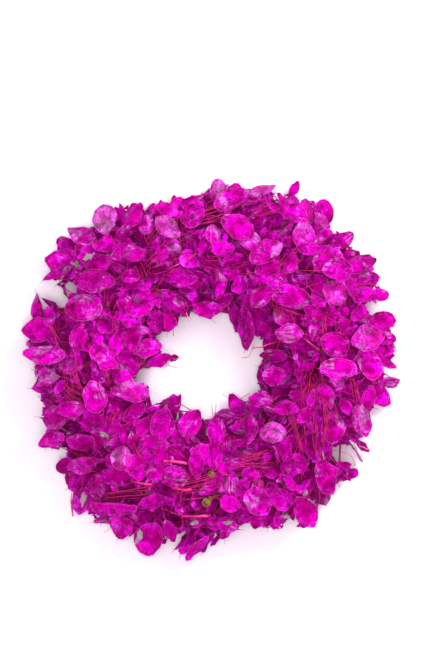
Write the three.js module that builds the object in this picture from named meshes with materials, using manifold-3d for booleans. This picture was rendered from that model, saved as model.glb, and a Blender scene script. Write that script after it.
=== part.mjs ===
// A wreath of dried honesty (lunaria): flat papery seed pods on wiry stems, dyed magenta.
// Short sprays lie clockwise round a straw ring, in an inner, a top and an outer row, and a
// florist's wire wound round the ring holds their stem ends down.
// Millimetres, +Z up. The wreath lies on its back, and the origin is the middle of its ring
// on the surface that it lies on.
import * as THREE from "three";
import Module from "manifold-3d";

const wasm = await Module();
wasm.setup();

// Overall size, and the scale that it gives the photograph
const OVERALL_WIDTH = 394; // across the widest pods, left to right
const WIDTH_IN_PIXELS = 375; // the same width in the photograph
const MIDDLE_IN_PIXELS = [211, 369.5]; // the middle of the ring in the photograph
const MM_PER_PIXEL = OVERALL_WIDTH / WIDTH_IN_PIXELS;

// Straw ring
const RING_RADIUS = 112; // centre line
const STRAW_RADIUS = 15.2; // between two turns of the wire
const SHOULDER_RADIUS = 15; // beside a turn
const GROOVE_RADIUS = 13; // under a turn
const RING_HEIGHT = 14.2; // centre line above the surface, so that the swells rest flat
const STATIONS = 16; // turns of the wire, and sprays in a row
const COLUMNS_PER_TURN = 4;
const SECTION_SIDES = 10;
const PITCH = (2 * Math.PI) / STATIONS;

// Gap that neighbouring pieces keep
const GAP = 0.3;

// Stems
const STEM_RADIUS = 1.8; // main stem of a spray
const STALK_RADIUS = 0.8; // stalk of a pod, at the pod
const ROOT_RADIUS = 0.6; // the same stalk where it leaves the main stem
const STEM_SECTIONS = 7; // points along a main stem
const STEM_RISE = STRAW_RADIUS + GAP + STEM_RADIUS / 2; // where it lies on the straw

// Binding wire
const WIRE_RADIUS = 0.5;
const WIRE_LOW = GROOVE_RADIUS + GAP + WIRE_RADIUS / 2; // on the bare straw
const CHORD_SAG = Math.cos(Math.PI / SECTION_SIDES); // of the wire between two corners
const WIRE_HIGH = (STEM_RISE + STEM_RADIUS + GAP + WIRE_RADIUS / 2) / CHORD_SAG; // over the stems
const WIRE_OPENING = 0.3; // of a turn, left between its two ends

// Rows of sprays. Angles are in the ring's section: 0 points outwards, 90 up, 180 inwards.
// "spread" is the fan that a row's hidden pods stand in, and "droop" turns it below "at".
const ROWS = [
  { name: "inner", at: 155, towards: [164, 172], lift: 27, sweep: 44, spread: 150, droop: -30 },
  { name: "top", at: 90, towards: [78, 108], lift: 38, sweep: 45, spread: 150, droop: 0 },
  { name: "outer", at: 20, towards: [18, 6], lift: 46, sweep: 45, spread: 150, droop: 30 },
];
const STEM_END = 5; // degrees that a stem end stands back from its wire
const LIFT_POWER = 1.4; // how late a stem turns away from the ring

// Pods
const POD_BULGE = 0.8; // half the thickness in the middle of a pod
const LEAST_WIDTH = 0.64; // of a pod's length, where it is seen on the slant
const RIM_POINTS = 8;
const LAYER_DEPTH = 7; // between pods that lie on one another
const STAND_PROUD = 3; // how far a pod may stand above the mound
const SINK_STEPS = 26; // how far it may sink to find room, in millimetres
const ATTEMPTS = 6; // tilts tried at each depth
const PITCH_FOLLOWS = 0.55; // how far a pod's length follows the slope of the mound
const ROLL_FOLLOWS = 0.5; // and its width
const PITCH_DRAW = 12; // degrees that a pod's length may tilt by chance, more at each attempt
const ROLL_DRAW = 10;

// Stalks
const SHORTEST_STALK = 7;
const LONGEST_STALK = 56;
const FIRST_ROOT = 0.34; // share of a main stem that carries no stalk
const ROOT_STEP = 0.06;
const LEAST_IN_LINE = 0.25; // cosine of the widest angle between a stalk and its pod
const STALK_MEETS = 0.3; // share of a stalk, next to its main stem, where neighbours may meet
const STALK_SEAT = 0.04; // share of a stalk that lies against its own pod
const BEND_COST = 1.8; // what a stalk out of line with its pod costs, against a longer one

// Pods that other pods hide, drawn at random
const FILL_COUNTS = { inner: 6, top: 3, outer: 6 }; // the most that each spray adds
const FILL_TRIES = 160;
const HIDDEN = {
  onward: 0.7, // how far a stalk may lean along its main stem
  outward: 0.8,
  shortest: 8, // stalk
  stalkDraw: 20,
  turn: 0.4, // how far a pod may turn on from its stalk
  fall: 0.25,
  length: 29,
  lengthDraw: 12,
  widthDraw: 0.14,
  leanDraw: 1.5, // radians
};

// Mound of the foliage
const EDGE_HEIGHT = 12;
const CROWN_HEIGHT = 78;
const CROWN_RADIUS = 120;
const OUTER_HALF = 76;
const INNER_HALF = 70;
const MOUND_POWER = 0.6; // how square its shoulders are
const MOUND_MARGIN = 2; // that a hidden pod may stand above it
const SLOPE_REACH = 6; // over which its slope is measured
const STEEPEST = 1.1;
const REACH_WINDOW = (11 * Math.PI) / 180; // round which the outline is read
const SEEN_SHARE = 0.7; // of half a pod's length that counts in the outline
const FLOOR = 1.2;

// The pods that show best in the photograph, read by eye. Each row holds the middle x and y in
// its 430 x 645 pixels, the heading of the tip in degrees from the right and counterclockwise,
// the length and width seen in pixels, and the layer: 0 lies in front, 1 and 2 behind others.
// prettier-ignore
const SEEN_PODS = [
  // upper left
  [106, 220, 100, 30, 26, 0], [133, 216, 60, 30, 18, 0], [82, 236, 150, 30, 20, 0],
  [66, 243, 160, 24, 14, 1], [62, 260, 175, 34, 24, 1], [60, 276, 200, 32, 22, 1],
  [100, 263, 180, 32, 22, 1], [97, 281, 0, 44, 22, 0], [135, 254, 0, 24, 20, 0],
  [119, 243, 90, 22, 16, 2], [121, 269, 150, 18, 10, 1], [132, 277, 0, 20, 14, 0],
  [131, 287, 0, 28, 12, 1], [35, 307, 95, 26, 13, 0], [147, 226, 80, 20, 16, 1],
  [105, 245, 180, 24, 18, 2],
  // top
  [168, 211, 160, 26, 18, 0], [168, 228, 140, 28, 22, 0], [170, 247, 150, 28, 20, 1],
  [188, 243, 90, 20, 13, 2], [192, 214, 90, 30, 25, 1], [192, 200, 25, 25, 8, 0],
  [218, 191, 90, 24, 20, 0], [231, 200, 30, 38, 22, 0], [262, 190, 20, 27, 12, 0],
  [281, 202, 110, 20, 14, 0], [213, 235, 90, 18, 16, 1], [238, 228, -30, 38, 26, 0],
  [249, 241, -30, 26, 20, 1], [265, 252, 30, 38, 24, 0], [234, 262, 0, 24, 16, 1],
  [210, 263, 0, 26, 16, 1], [181, 279, 0, 34, 20, 0], [217, 285, -90, 28, 13, 0],
  [175, 303, -45, 34, 18, 0], [261, 297, 45, 28, 18, 0],
  // upper right
  [294, 188, 60, 18, 12, 1], [306, 212, 95, 26, 24, 0], [323, 213, 80, 30, 24, 1],
  [319, 221, 60, 18, 17, 0], [303, 238, 90, 32, 24, 1], [306, 250, 0, 24, 14, 0],
  [342, 240, 40, 30, 16, 1], [362, 262, 0, 28, 14, 1], [354, 267, 10, 26, 16, 0],
  [322, 263, 45, 24, 22, 0], [335, 272, 0, 30, 26, 0], [333, 293, -45, 28, 26, 1],
  [317, 284, -90, 22, 20, 1], [300, 276, 0, 20, 15, 1], [289, 264, 60, 22, 20, 1],
  [351, 291, -80, 30, 12, 0], [365, 293, 20, 26, 20, 1], [379, 295, -10, 24, 15, 0],
  [289, 296, 180, 36, 24, 0], [295, 303, 180, 30, 20, 2], [317, 300, -60, 18, 16, 1],
  // right
  [365, 338, 10, 31, 29, 0], [380, 322, 20, 32, 22, 1], [385, 338, 0, 24, 14, 1],
  [383, 350, 0, 22, 14, 2], [383, 360, -35, 26, 14, 1], [368, 362, -80, 34, 26, 1],
  [366, 383, 0, 24, 12, 2], [367, 398, -110, 26, 15, 0], [390, 382, 0, 20, 13, 0],
  [360, 419, -75, 34, 20, 0], [345, 405, -60, 18, 14, 1], [356, 439, -50, 26, 9, 1],
  [331, 426, -90, 30, 26, 1], [338, 440, -20, 22, 8, 1], [305, 413, 40, 22, 14, 0],
  [286, 409, 180, 24, 20, 1], [294, 394, 180, 14, 12, 1], [333, 344, -20, 30, 26, 0],
  [336, 368, 0, 38, 22, 0], [288, 334, 180, 28, 23, 0], [301, 348, -10, 36, 14, 1],
  [342, 324, 90, 14, 12, 1], [357, 313, 45, 20, 16, 1], [312, 374, -120, 22, 20, 1],
  [324, 394, -70, 26, 20, 1],
  // inner edge, right and bottom
  [273, 356, 180, 26, 16, 1], [274, 376, 180, 24, 20, 0], [263, 381, -70, 26, 7, 1],
  [260, 399, 170, 22, 18, 0], [252, 406, 150, 14, 14, 1], [241, 407, 140, 30, 9, 0],
  [228, 414, 170, 24, 9, 0], [247, 427, 90, 30, 22, 0], [232, 429, 90, 26, 10, 2],
  [272, 431, 180, 26, 22, 0], [271, 413, 150, 28, 18, 1], [216, 430, 90, 30, 20, 0],
  [190, 423, 60, 30, 24, 0], [163, 424, 80, 34, 26, 0], [168, 402, 20, 30, 6, 0],
  [176, 409, 40, 12, 6, 0],
  // bottom
  [245, 442, 0, 30, 14, 1], [214, 452, -90, 34, 17, 0], [197, 461, -90, 28, 16, 0],
  [225, 445, -90, 24, 14, 1], [150, 441, 200, 20, 18, 0], [176, 441, 180, 30, 20, 1],
  [175, 474, 170, 28, 22, 0], [158, 470, 200, 22, 18, 1], [181, 505, -90, 14, 12, 0],
  [150, 538, -110, 36, 33, 0], [197, 546, -130, 30, 14, 0], [170, 530, -70, 22, 14, 1],
  [120, 526, -95, 27, 26, 0], [135, 513, -60, 16, 12, 0], [115, 505, 180, 46, 18, 0],
  [112, 517, 190, 40, 14, 1], [230, 501, -20, 22, 18, 0], [255, 519, -90, 16, 12, 1],
  [228, 524, -20, 24, 14, 1], [195, 520, 180, 18, 12, 1], [155, 500, 200, 30, 16, 1],
  [142, 470, 190, 22, 16, 1], [231, 482, 90, 26, 16, 1], [243, 482, 45, 16, 12, 0],
  // lower left
  [98, 485, 85, 28, 18, 0], [84, 463, 20, 32, 20, 0], [67, 468, 185, 24, 22, 1],
  [68, 494, -95, 26, 14, 1], [81, 503, -100, 30, 24, 1], [85, 497, -70, 20, 9, 0],
  [54, 440, 200, 26, 22, 0], [57, 417, 190, 27, 25, 0], [73, 408, 0, 28, 18, 0],
  [123, 456, -100, 24, 22, 0], [98, 440, 100, 18, 14, 1], [82, 441, 180, 32, 18, 1],
  [92, 419, 0, 26, 10, 0], [122, 426, 10, 18, 12, 0], [144, 426, 60, 22, 14, 1],
  [117, 474, 180, 36, 16, 2],
  // left
  [50, 378, 190, 26, 25, 0], [44, 384, 200, 22, 20, 1], [71, 366, 180, 26, 16, 1],
  [97, 396, -75, 34, 26, 0], [131, 391, 0, 40, 21, 0], [118, 405, -60, 22, 16, 1],
  [135, 411, 40, 26, 16, 0], [106, 356, -50, 38, 25, 0], [129, 363, -60, 28, 22, 1],
  [133, 338, -90, 22, 18, 1], [148, 348, 10, 28, 20, 0], [160, 361, 20, 24, 15, 0],
  [174, 358, 10, 8, 7, 0], [81, 338, 78, 32, 19, 0], [109, 326, -10, 22, 16, 1],
  [85, 308, 180, 38, 28, 0], [46, 354, 176, 42, 22, 0], [38, 330, 180, 30, 27, 0],
  [50, 317, 100, 20, 14, 1],
  // inner edge, left and top
  [158, 322, -80, 24, 20, 1], [169, 319, -85, 26, 10, 0], [182, 306, -60, 26, 16, 1],
  [208, 309, 180, 28, 18, 0], [234, 317, -85, 28, 13, 1], [246, 327, -90, 44, 17, 0],
  [262, 330, -60, 20, 14, 1],
  // lower right
  [325, 476, -70, 38, 30, 0], [345, 464, 0, 10, 8, 1], [352, 474, 50, 18, 9, 0],
  [283, 498, 180, 26, 24, 0], [305, 510, -60, 34, 24, 0], [303, 521, -80, 14, 10, 1],
  [257, 497, -60, 34, 28, 0], [266, 490, 20, 12, 9, 0], [284, 446, -90, 20, 14, 1],
  [300, 462, -80, 20, 14, 1], [277, 518, -90, 18, 10, 1],
];

// Vectors are plain [x, y, z] lists
const plus = (a, b, scale = 1) => [a[0] + b[0] * scale, a[1] + b[1] * scale, a[2] + b[2] * scale];
const minus = (a, b) => [a[0] - b[0], a[1] - b[1], a[2] - b[2]];
const dot = (a, b) => a[0] * b[0] + a[1] * b[1] + a[2] * b[2];
const cross = (a, b) => [
  a[1] * b[2] - a[2] * b[1],
  a[2] * b[0] - a[0] * b[2],
  a[0] * b[1] - a[1] * b[0],
];
const scaled = (a, scale) => [a[0] * scale, a[1] * scale, a[2] * scale];
const unit = (a) => scaled(a, 1 / Math.hypot(a[0], a[1], a[2]));
const radians = (degrees) => (degrees * Math.PI) / 180;
const clamp = (value, low, high) => Math.min(high, Math.max(low, value));
const UP = [0, 0, 1];

// Repeatable random numbers from 0 to 1
function seededRandom(seed) {
  let state = seed;
  return () => {
    state = (state + 0x6d2b79f5) | 0;
    let t = Math.imul(state ^ (state >>> 15), 1 | state);
    t = (t + Math.imul(t ^ (t >>> 7), 61 | t)) ^ t;
    return ((t ^ (t >>> 14)) >>> 0) / 4294967296;
  };
}

// Outward direction in the ring's section at one place round the ring
const sectionDirection = (around, section) => [
  Math.cos(section) * Math.cos(around),
  Math.cos(section) * Math.sin(around),
  Math.sin(section),
];

// A point at a distance from the ring's centre line
function ringPoint(around, section, distance) {
  const centre = [RING_RADIUS * Math.cos(around), RING_RADIUS * Math.sin(around), RING_HEIGHT];
  return plus(centre, sectionDirection(around, section), distance);
}

const distanceFromRing = (p) =>
  Math.hypot(Math.hypot(p[0], p[1]) - RING_RADIUS, p[2] - RING_HEIGHT);

// A closed solid from its corners and triangles, turned so that its faces point out
function solidOf(corners, triangles) {
  let volume = 0;
  for (const [a, b, c] of triangles) {
    volume += dot(corners[a], cross(corners[b], corners[c]));
  }
  const facing = volume < 0 ? triangles.map(([a, b, c]) => [a, c, b]) : triangles;
  const mesh = new wasm.Mesh({
    numProp: 3,
    vertProperties: Float32Array.from(corners.flat()),
    triVerts: Uint32Array.from(facing.flat()),
  });
  return new wasm.Manifold(mesh);
}

// Three.js geometry of a solid
function geometryOf(solid) {
  const mesh = solid.getMesh();
  const geometry = new THREE.BufferGeometry();
  geometry.setAttribute("position", new THREE.BufferAttribute(mesh.vertProperties, 3));
  geometry.setIndex(new THREE.BufferAttribute(mesh.triVerts, 1));
  geometry.computeVertexNormals();
  return geometry;
}

// A three-sided tube along points, with one edge of its section towards each point's "out"
function tube(points, outs, radius) {
  const sides = 3;
  const corners = [];
  points.forEach((point, i) => {
    const ahead = points[Math.min(i + 1, points.length - 1)];
    const behind = points[Math.max(i - 1, 0)];
    const run = unit(minus(ahead, behind));
    const side = unit(cross(outs[i], run));
    const out = cross(run, side);
    for (let k = 0; k < sides; k++) {
      const turn = Math.PI / 2 + (2 * Math.PI * k) / sides;
      corners.push(plus(plus(point, side, radius * Math.cos(turn)), out, radius * Math.sin(turn)));
    }
  });
  const triangles = [[0, 1, 2]];
  for (let i = 0; i + 1 < points.length; i++) {
    for (let k = 0; k < sides; k++) {
      const a = i * sides + k;
      const b = i * sides + ((k + 1) % sides);
      triangles.push([a, a + sides, b], [b, a + sides, b + sides]);
    }
  }
  const last = (points.length - 1) * sides;
  triangles.push([last, last + 2, last + 1]);
  return solidOf(corners, triangles);
}

// The straw ring: its columns of corners lean with the wire, so that one in four is the
// groove under a turn, and the swells between are pressed flat where they rest
function strawRing() {
  const columns = STATIONS * COLUMNS_PER_TURN;
  const radii = [GROOVE_RADIUS, SHOULDER_RADIUS, STRAW_RADIUS, SHOULDER_RADIUS];
  const corners = [];
  for (let j = 0; j < columns; j++) {
    for (let i = 0; i < SECTION_SIDES; i++) {
      const share = i / SECTION_SIDES;
      const around = (j / COLUMNS_PER_TURN + share) * PITCH;
      const corner = ringPoint(around, 2 * Math.PI * share, radii[j % COLUMNS_PER_TURN]);
      corner[2] = Math.max(corner[2], 0);
      corners.push(corner);
    }
  }
  // One lap round the section moves a column on by one turn of the wire
  const index = (j, i) => {
    const laps = Math.floor(i / SECTION_SIDES);
    return ((j + laps * COLUMNS_PER_TURN) % columns) * SECTION_SIDES + (i % SECTION_SIDES);
  };
  const triangles = [];
  for (let j = 0; j < columns; j++) {
    for (let i = 0; i < SECTION_SIDES; i++) {
      triangles.push([index(j, i), index(j + 1, i), index(j + 1, i + 1)]);
      triangles.push([index(j, i), index(j + 1, i + 1), index(j, i + 1)]);
    }
  }
  return solidOf(corners, triangles);
}

// The wire's distance from the ring's centre line: low under the ring, high over the stems
const wireRise = (section) => (Math.sin(section) > -0.1 ? WIRE_HIGH : WIRE_LOW);

// The binding wire: one length, wound once round the ring for each station
function bindingWire() {
  const points = [];
  const outs = [];
  const steps = Math.round((STATIONS - WIRE_OPENING) * SECTION_SIDES);
  for (let i = 0; i < steps; i++) {
    const turns = i / SECTION_SIDES;
    const section = 2 * Math.PI * turns;
    points.push(ringPoint(turns * PITCH, section, wireRise(section)));
    outs.push(sectionDirection(turns * PITCH, section));
  }
  return tube(points, outs, WIRE_RADIUS);
}

// The main stem of one spray, from its cut end behind the wire to its tip
function mainStem(row, station) {
  const section = radians(row.at);
  const crossing = (station + row.at / 360) * PITCH;
  const begin = crossing + radians(STEM_END);
  const sweep = radians(row.sweep);
  const free = (2 * STEM_END) / row.sweep;
  const lean = radians(row.towards[station % 2]);
  const at = (share) => {
    const around = begin - sweep * share;
    const lift = row.lift * clamp((share - free) / (1 - free), 0, 1) ** LIFT_POWER;
    return plus(ringPoint(around, section, STEM_RISE), sectionDirection(around, lean), lift);
  };
  const shares = Array.from({ length: STEM_SECTIONS }, (_, i) => i / (STEM_SECTIONS - 1));
  return {
    points: shares.map(at),
    outs: shares.map((share) => sectionDirection(begin - sweep * share, section)),
  };
}

// The point at a share of a main stem's length, on its straight stretches
function alongStem(stem, share) {
  const place = clamp(share, 0, 1) * (STEM_SECTIONS - 1);
  const i = Math.min(Math.floor(place), STEM_SECTIONS - 2);
  return plus(stem.points[i], minus(stem.points[i + 1], stem.points[i]), place - i);
}

// Height of the mound over a distance from the middle of the ring
function moundHeight(radius) {
  const half = radius > CROWN_RADIUS ? OUTER_HALF : INNER_HALF;
  const share = clamp((radius - CROWN_RADIUS) / half, -1, 1);
  return EDGE_HEIGHT + (CROWN_HEIGHT - EDGE_HEIGHT) * (1 - share * share) ** MOUND_POWER;
}

// Fall of the mound along a level direction, in millimetres a millimetre
function moundSlope(point, direction) {
  const heightAt = (step) =>
    moundHeight(Math.hypot(point[0] + direction[0] * step, point[1] + direction[1] * step));
  const slope = (heightAt(SLOPE_REACH) - heightAt(-SLOPE_REACH)) / (2 * SLOPE_REACH);
  return clamp(slope, -STEEPEST, STEEPEST);
}

// A pod: a pointed oval plate with its base at the stalk. Its rim runs counterclockwise from
// the tip, seen from the side that its normal points to.
function makePod(middle, along, across, length, width) {
  const normal = cross(along, across);
  const rim = [];
  for (let k = 0; k < RIM_POINTS; k++) {
    const turn = (2 * Math.PI * k) / RIM_POINTS;
    const forward = (length / 2) * Math.cos(turn);
    const sideways = (width / 2) * Math.sin(turn);
    rim.push(plus(plus(middle, along, forward), across, sideways));
  }
  const inward = rim.map((p, k) => cross(normal, minus(rim[(k + 1) % RIM_POINTS], p)));
  const base = plus(middle, along, -length / 2);
  return { middle, along, across, normal, length, width, rim, inward, base, reach: length / 2 };
}

// One pod and its stalk as one closed solid. The stalk has three sides, and its section
// takes the place of the rim's point at the base.
function podSolid(pod, root) {
  const run = unit(minus(pod.base, root));
  const side = unit(plus(pod.across, run, -dot(pod.across, run)));
  const rise = cross(run, side);
  const half = pod.rim.length / 2;
  const left = plus(pod.base, side, STALK_RADIUS);
  const right = plus(pod.base, side, -STALK_RADIUS);
  const rim = [...pod.rim.slice(0, half), left, right, ...pod.rim.slice(half + 1)];
  const count = rim.length;
  const top = count;
  const bottom = count + 1;
  const ridge = count + 2;
  const corners = [
    ...rim,
    plus(pod.middle, pod.normal, POD_BULGE),
    plus(pod.middle, pod.normal, -POD_BULGE),
    plus(pod.base, rise, STALK_RADIUS),
    plus(root, side, ROOT_RADIUS),
    plus(root, rise, ROOT_RADIUS),
    plus(root, side, -ROOT_RADIUS),
  ];
  const triangles = [];
  for (let i = 0; i < count; i++) {
    const next = (i + 1) % count;
    triangles.push([bottom, next, i]);
    if (i !== half) {
      triangles.push([top, i, next]);
    }
  }
  triangles.push([top, half, ridge], [top, ridge, half + 1]);
  const ends = [half, ridge, half + 1];
  for (let k = 0; k < 3; k++) {
    const a = ends[k];
    const b = ends[(k + 1) % 3];
    const rootA = ridge + 1 + k;
    const rootB = ridge + 1 + ((k + 1) % 3);
    triangles.push([a, rootA, rootB], [a, rootB, b]);
  }
  triangles.push([ridge + 1, ridge + 3, ridge + 2]);
  return solidOf(corners, triangles);
}

// Least distance between two straight pieces
function pieceDistance(p1, q1, p2, q2) {
  const d1 = minus(q1, p1);
  const d2 = minus(q2, p2);
  const r = minus(p1, p2);
  const a = dot(d1, d1);
  const e = dot(d2, d2);
  const f = dot(d2, r);
  const c = dot(d1, r);
  const b = dot(d1, d2);
  const denominator = a * e - b * b;
  let s = denominator > 1e-9 ? clamp((b * f - c * e) / denominator, 0, 1) : 0;
  let t = (b * s + f) / e;
  if (t < 0) {
    t = 0;
    s = clamp(-c / a, 0, 1);
  } else if (t > 1) {
    t = 1;
    s = clamp((b - c) / a, 0, 1);
  }
  const gap = minus(plus(p1, d1, s), plus(p2, d2, t));
  return Math.sqrt(dot(gap, gap));
}

const liesInside = (pod, point) =>
  pod.rim.every((corner, k) => dot(pod.inward[k], minus(point, corner)) >= 0);

// Whether a straight piece comes nearer to a pod's plate than a limit
function pieceNearPod(p, q, pod, limit) {
  const heightP = dot(pod.normal, minus(p, pod.middle));
  const heightQ = dot(pod.normal, minus(q, pod.middle));
  if (heightP * heightQ > 0 && Math.min(Math.abs(heightP), Math.abs(heightQ)) > limit) {
    return false;
  }
  if (heightP * heightQ <= 0) {
    const crossing = plus(p, minus(q, p), heightP / (heightP - heightQ || 1));
    if (liesInside(pod, crossing)) {
      return true;
    }
  }
  if (Math.abs(heightP) < limit && liesInside(pod, p)) {
    return true;
  }
  if (Math.abs(heightQ) < limit && liesInside(pod, q)) {
    return true;
  }
  return pod.rim.some(
    (corner, k) => pieceDistance(p, q, corner, pod.rim[(k + 1) % pod.rim.length]) < limit,
  );
}

const rimNearPod = (one, other, limit) =>
  one.rim.some((corner, k) =>
    pieceNearPod(corner, one.rim[(k + 1) % one.rim.length], other, limit),
  );

function podsTooNear(one, other) {
  const limit = 2 * POD_BULGE + GAP;
  const apart = minus(one.middle, other.middle);
  if (Math.hypot(...apart) > one.reach + other.reach + limit) {
    return false;
  }
  return rimNearPod(one, other, limit) || rimNearPod(other, one, limit);
}

// A stretch of stem or stalk: its ends, its radius, and the spray that it belongs to
const stretch = (p, q, radius, spray) => ({
  p,
  q,
  radius,
  spray,
  middle: scaled(plus(p, q), 0.5),
  reach: Math.hypot(...minus(p, q)) / 2,
});

function stretchNearPod(piece, pod) {
  const limit = piece.radius + POD_BULGE + GAP;
  if (Math.hypot(...minus(piece.middle, pod.middle)) > piece.reach + pod.reach + limit) {
    return false;
  }
  return pieceNearPod(piece.p, piece.q, pod, limit);
}

function stretchesTooNear(one, other) {
  const limit = one.radius + other.radius + GAP;
  if (Math.hypot(...minus(one.middle, other.middle)) > one.reach + other.reach + limit) {
    return false;
  }
  return pieceDistance(one.p, one.q, other.p, other.q) < limit;
}

// A stalk without the stretch next to its main stem, where neighbours may meet
const outerPart = (stalk) =>
  stretch(plus(stalk.p, minus(stalk.q, stalk.p), STALK_MEETS), stalk.q, stalk.radius, stalk.spray);

// Points over a plate, to measure it against the ring
function platePoints(pod) {
  const points = [pod.middle];
  for (const corner of pod.rim) {
    const spoke = minus(corner, pod.middle);
    points.push(corner, plus(pod.middle, spoke, 0.67), plus(pod.middle, spoke, 0.33));
  }
  return points;
}

const RING_CLEARANCE = WIRE_HIGH + WIRE_RADIUS + POD_BULGE + GAP;
const clearOfRing = (point) => distanceFromRing(point) > RING_CLEARANCE;

// How far the pods seen in one direction reach from the middle of the ring
const seenReaches = SEEN_PODS.map(([x, y, , length]) => {
  const across = (x - MIDDLE_IN_PIXELS[0]) * MM_PER_PIXEL;
  const up = (MIDDLE_IN_PIXELS[1] - y) * MM_PER_PIXEL;
  return {
    around: Math.atan2(up, across),
    radius: Math.hypot(across, up),
    half: (length * MM_PER_PIXEL) / 2,
  };
});
const turnBetween = (a, b) => Math.abs(Math.atan2(Math.sin(a - b), Math.cos(a - b)));

function outlineAt(around) {
  const near = seenReaches.filter((seen) => turnBetween(seen.around, around) < REACH_WINDOW);
  return {
    outer: Math.max(...near.map((seen) => seen.radius + seen.half * SEEN_SHARE)),
    inner: Math.min(...near.map((seen) => seen.radius - seen.half * SEEN_SHARE)),
  };
}

// Whether a pod that the photograph hides stays inside what it shows
function insideMound(pod) {
  return pod.rim.every((point) => {
    const radius = Math.hypot(point[0], point[1]);
    const outline = outlineAt(Math.atan2(point[1], point[0]));
    const low = point[2] > FLOOR;
    const wide = radius < outline.outer && radius > outline.inner;
    return low && wide && point[2] < moundHeight(radius) + MOUND_MARGIN;
  });
}

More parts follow.
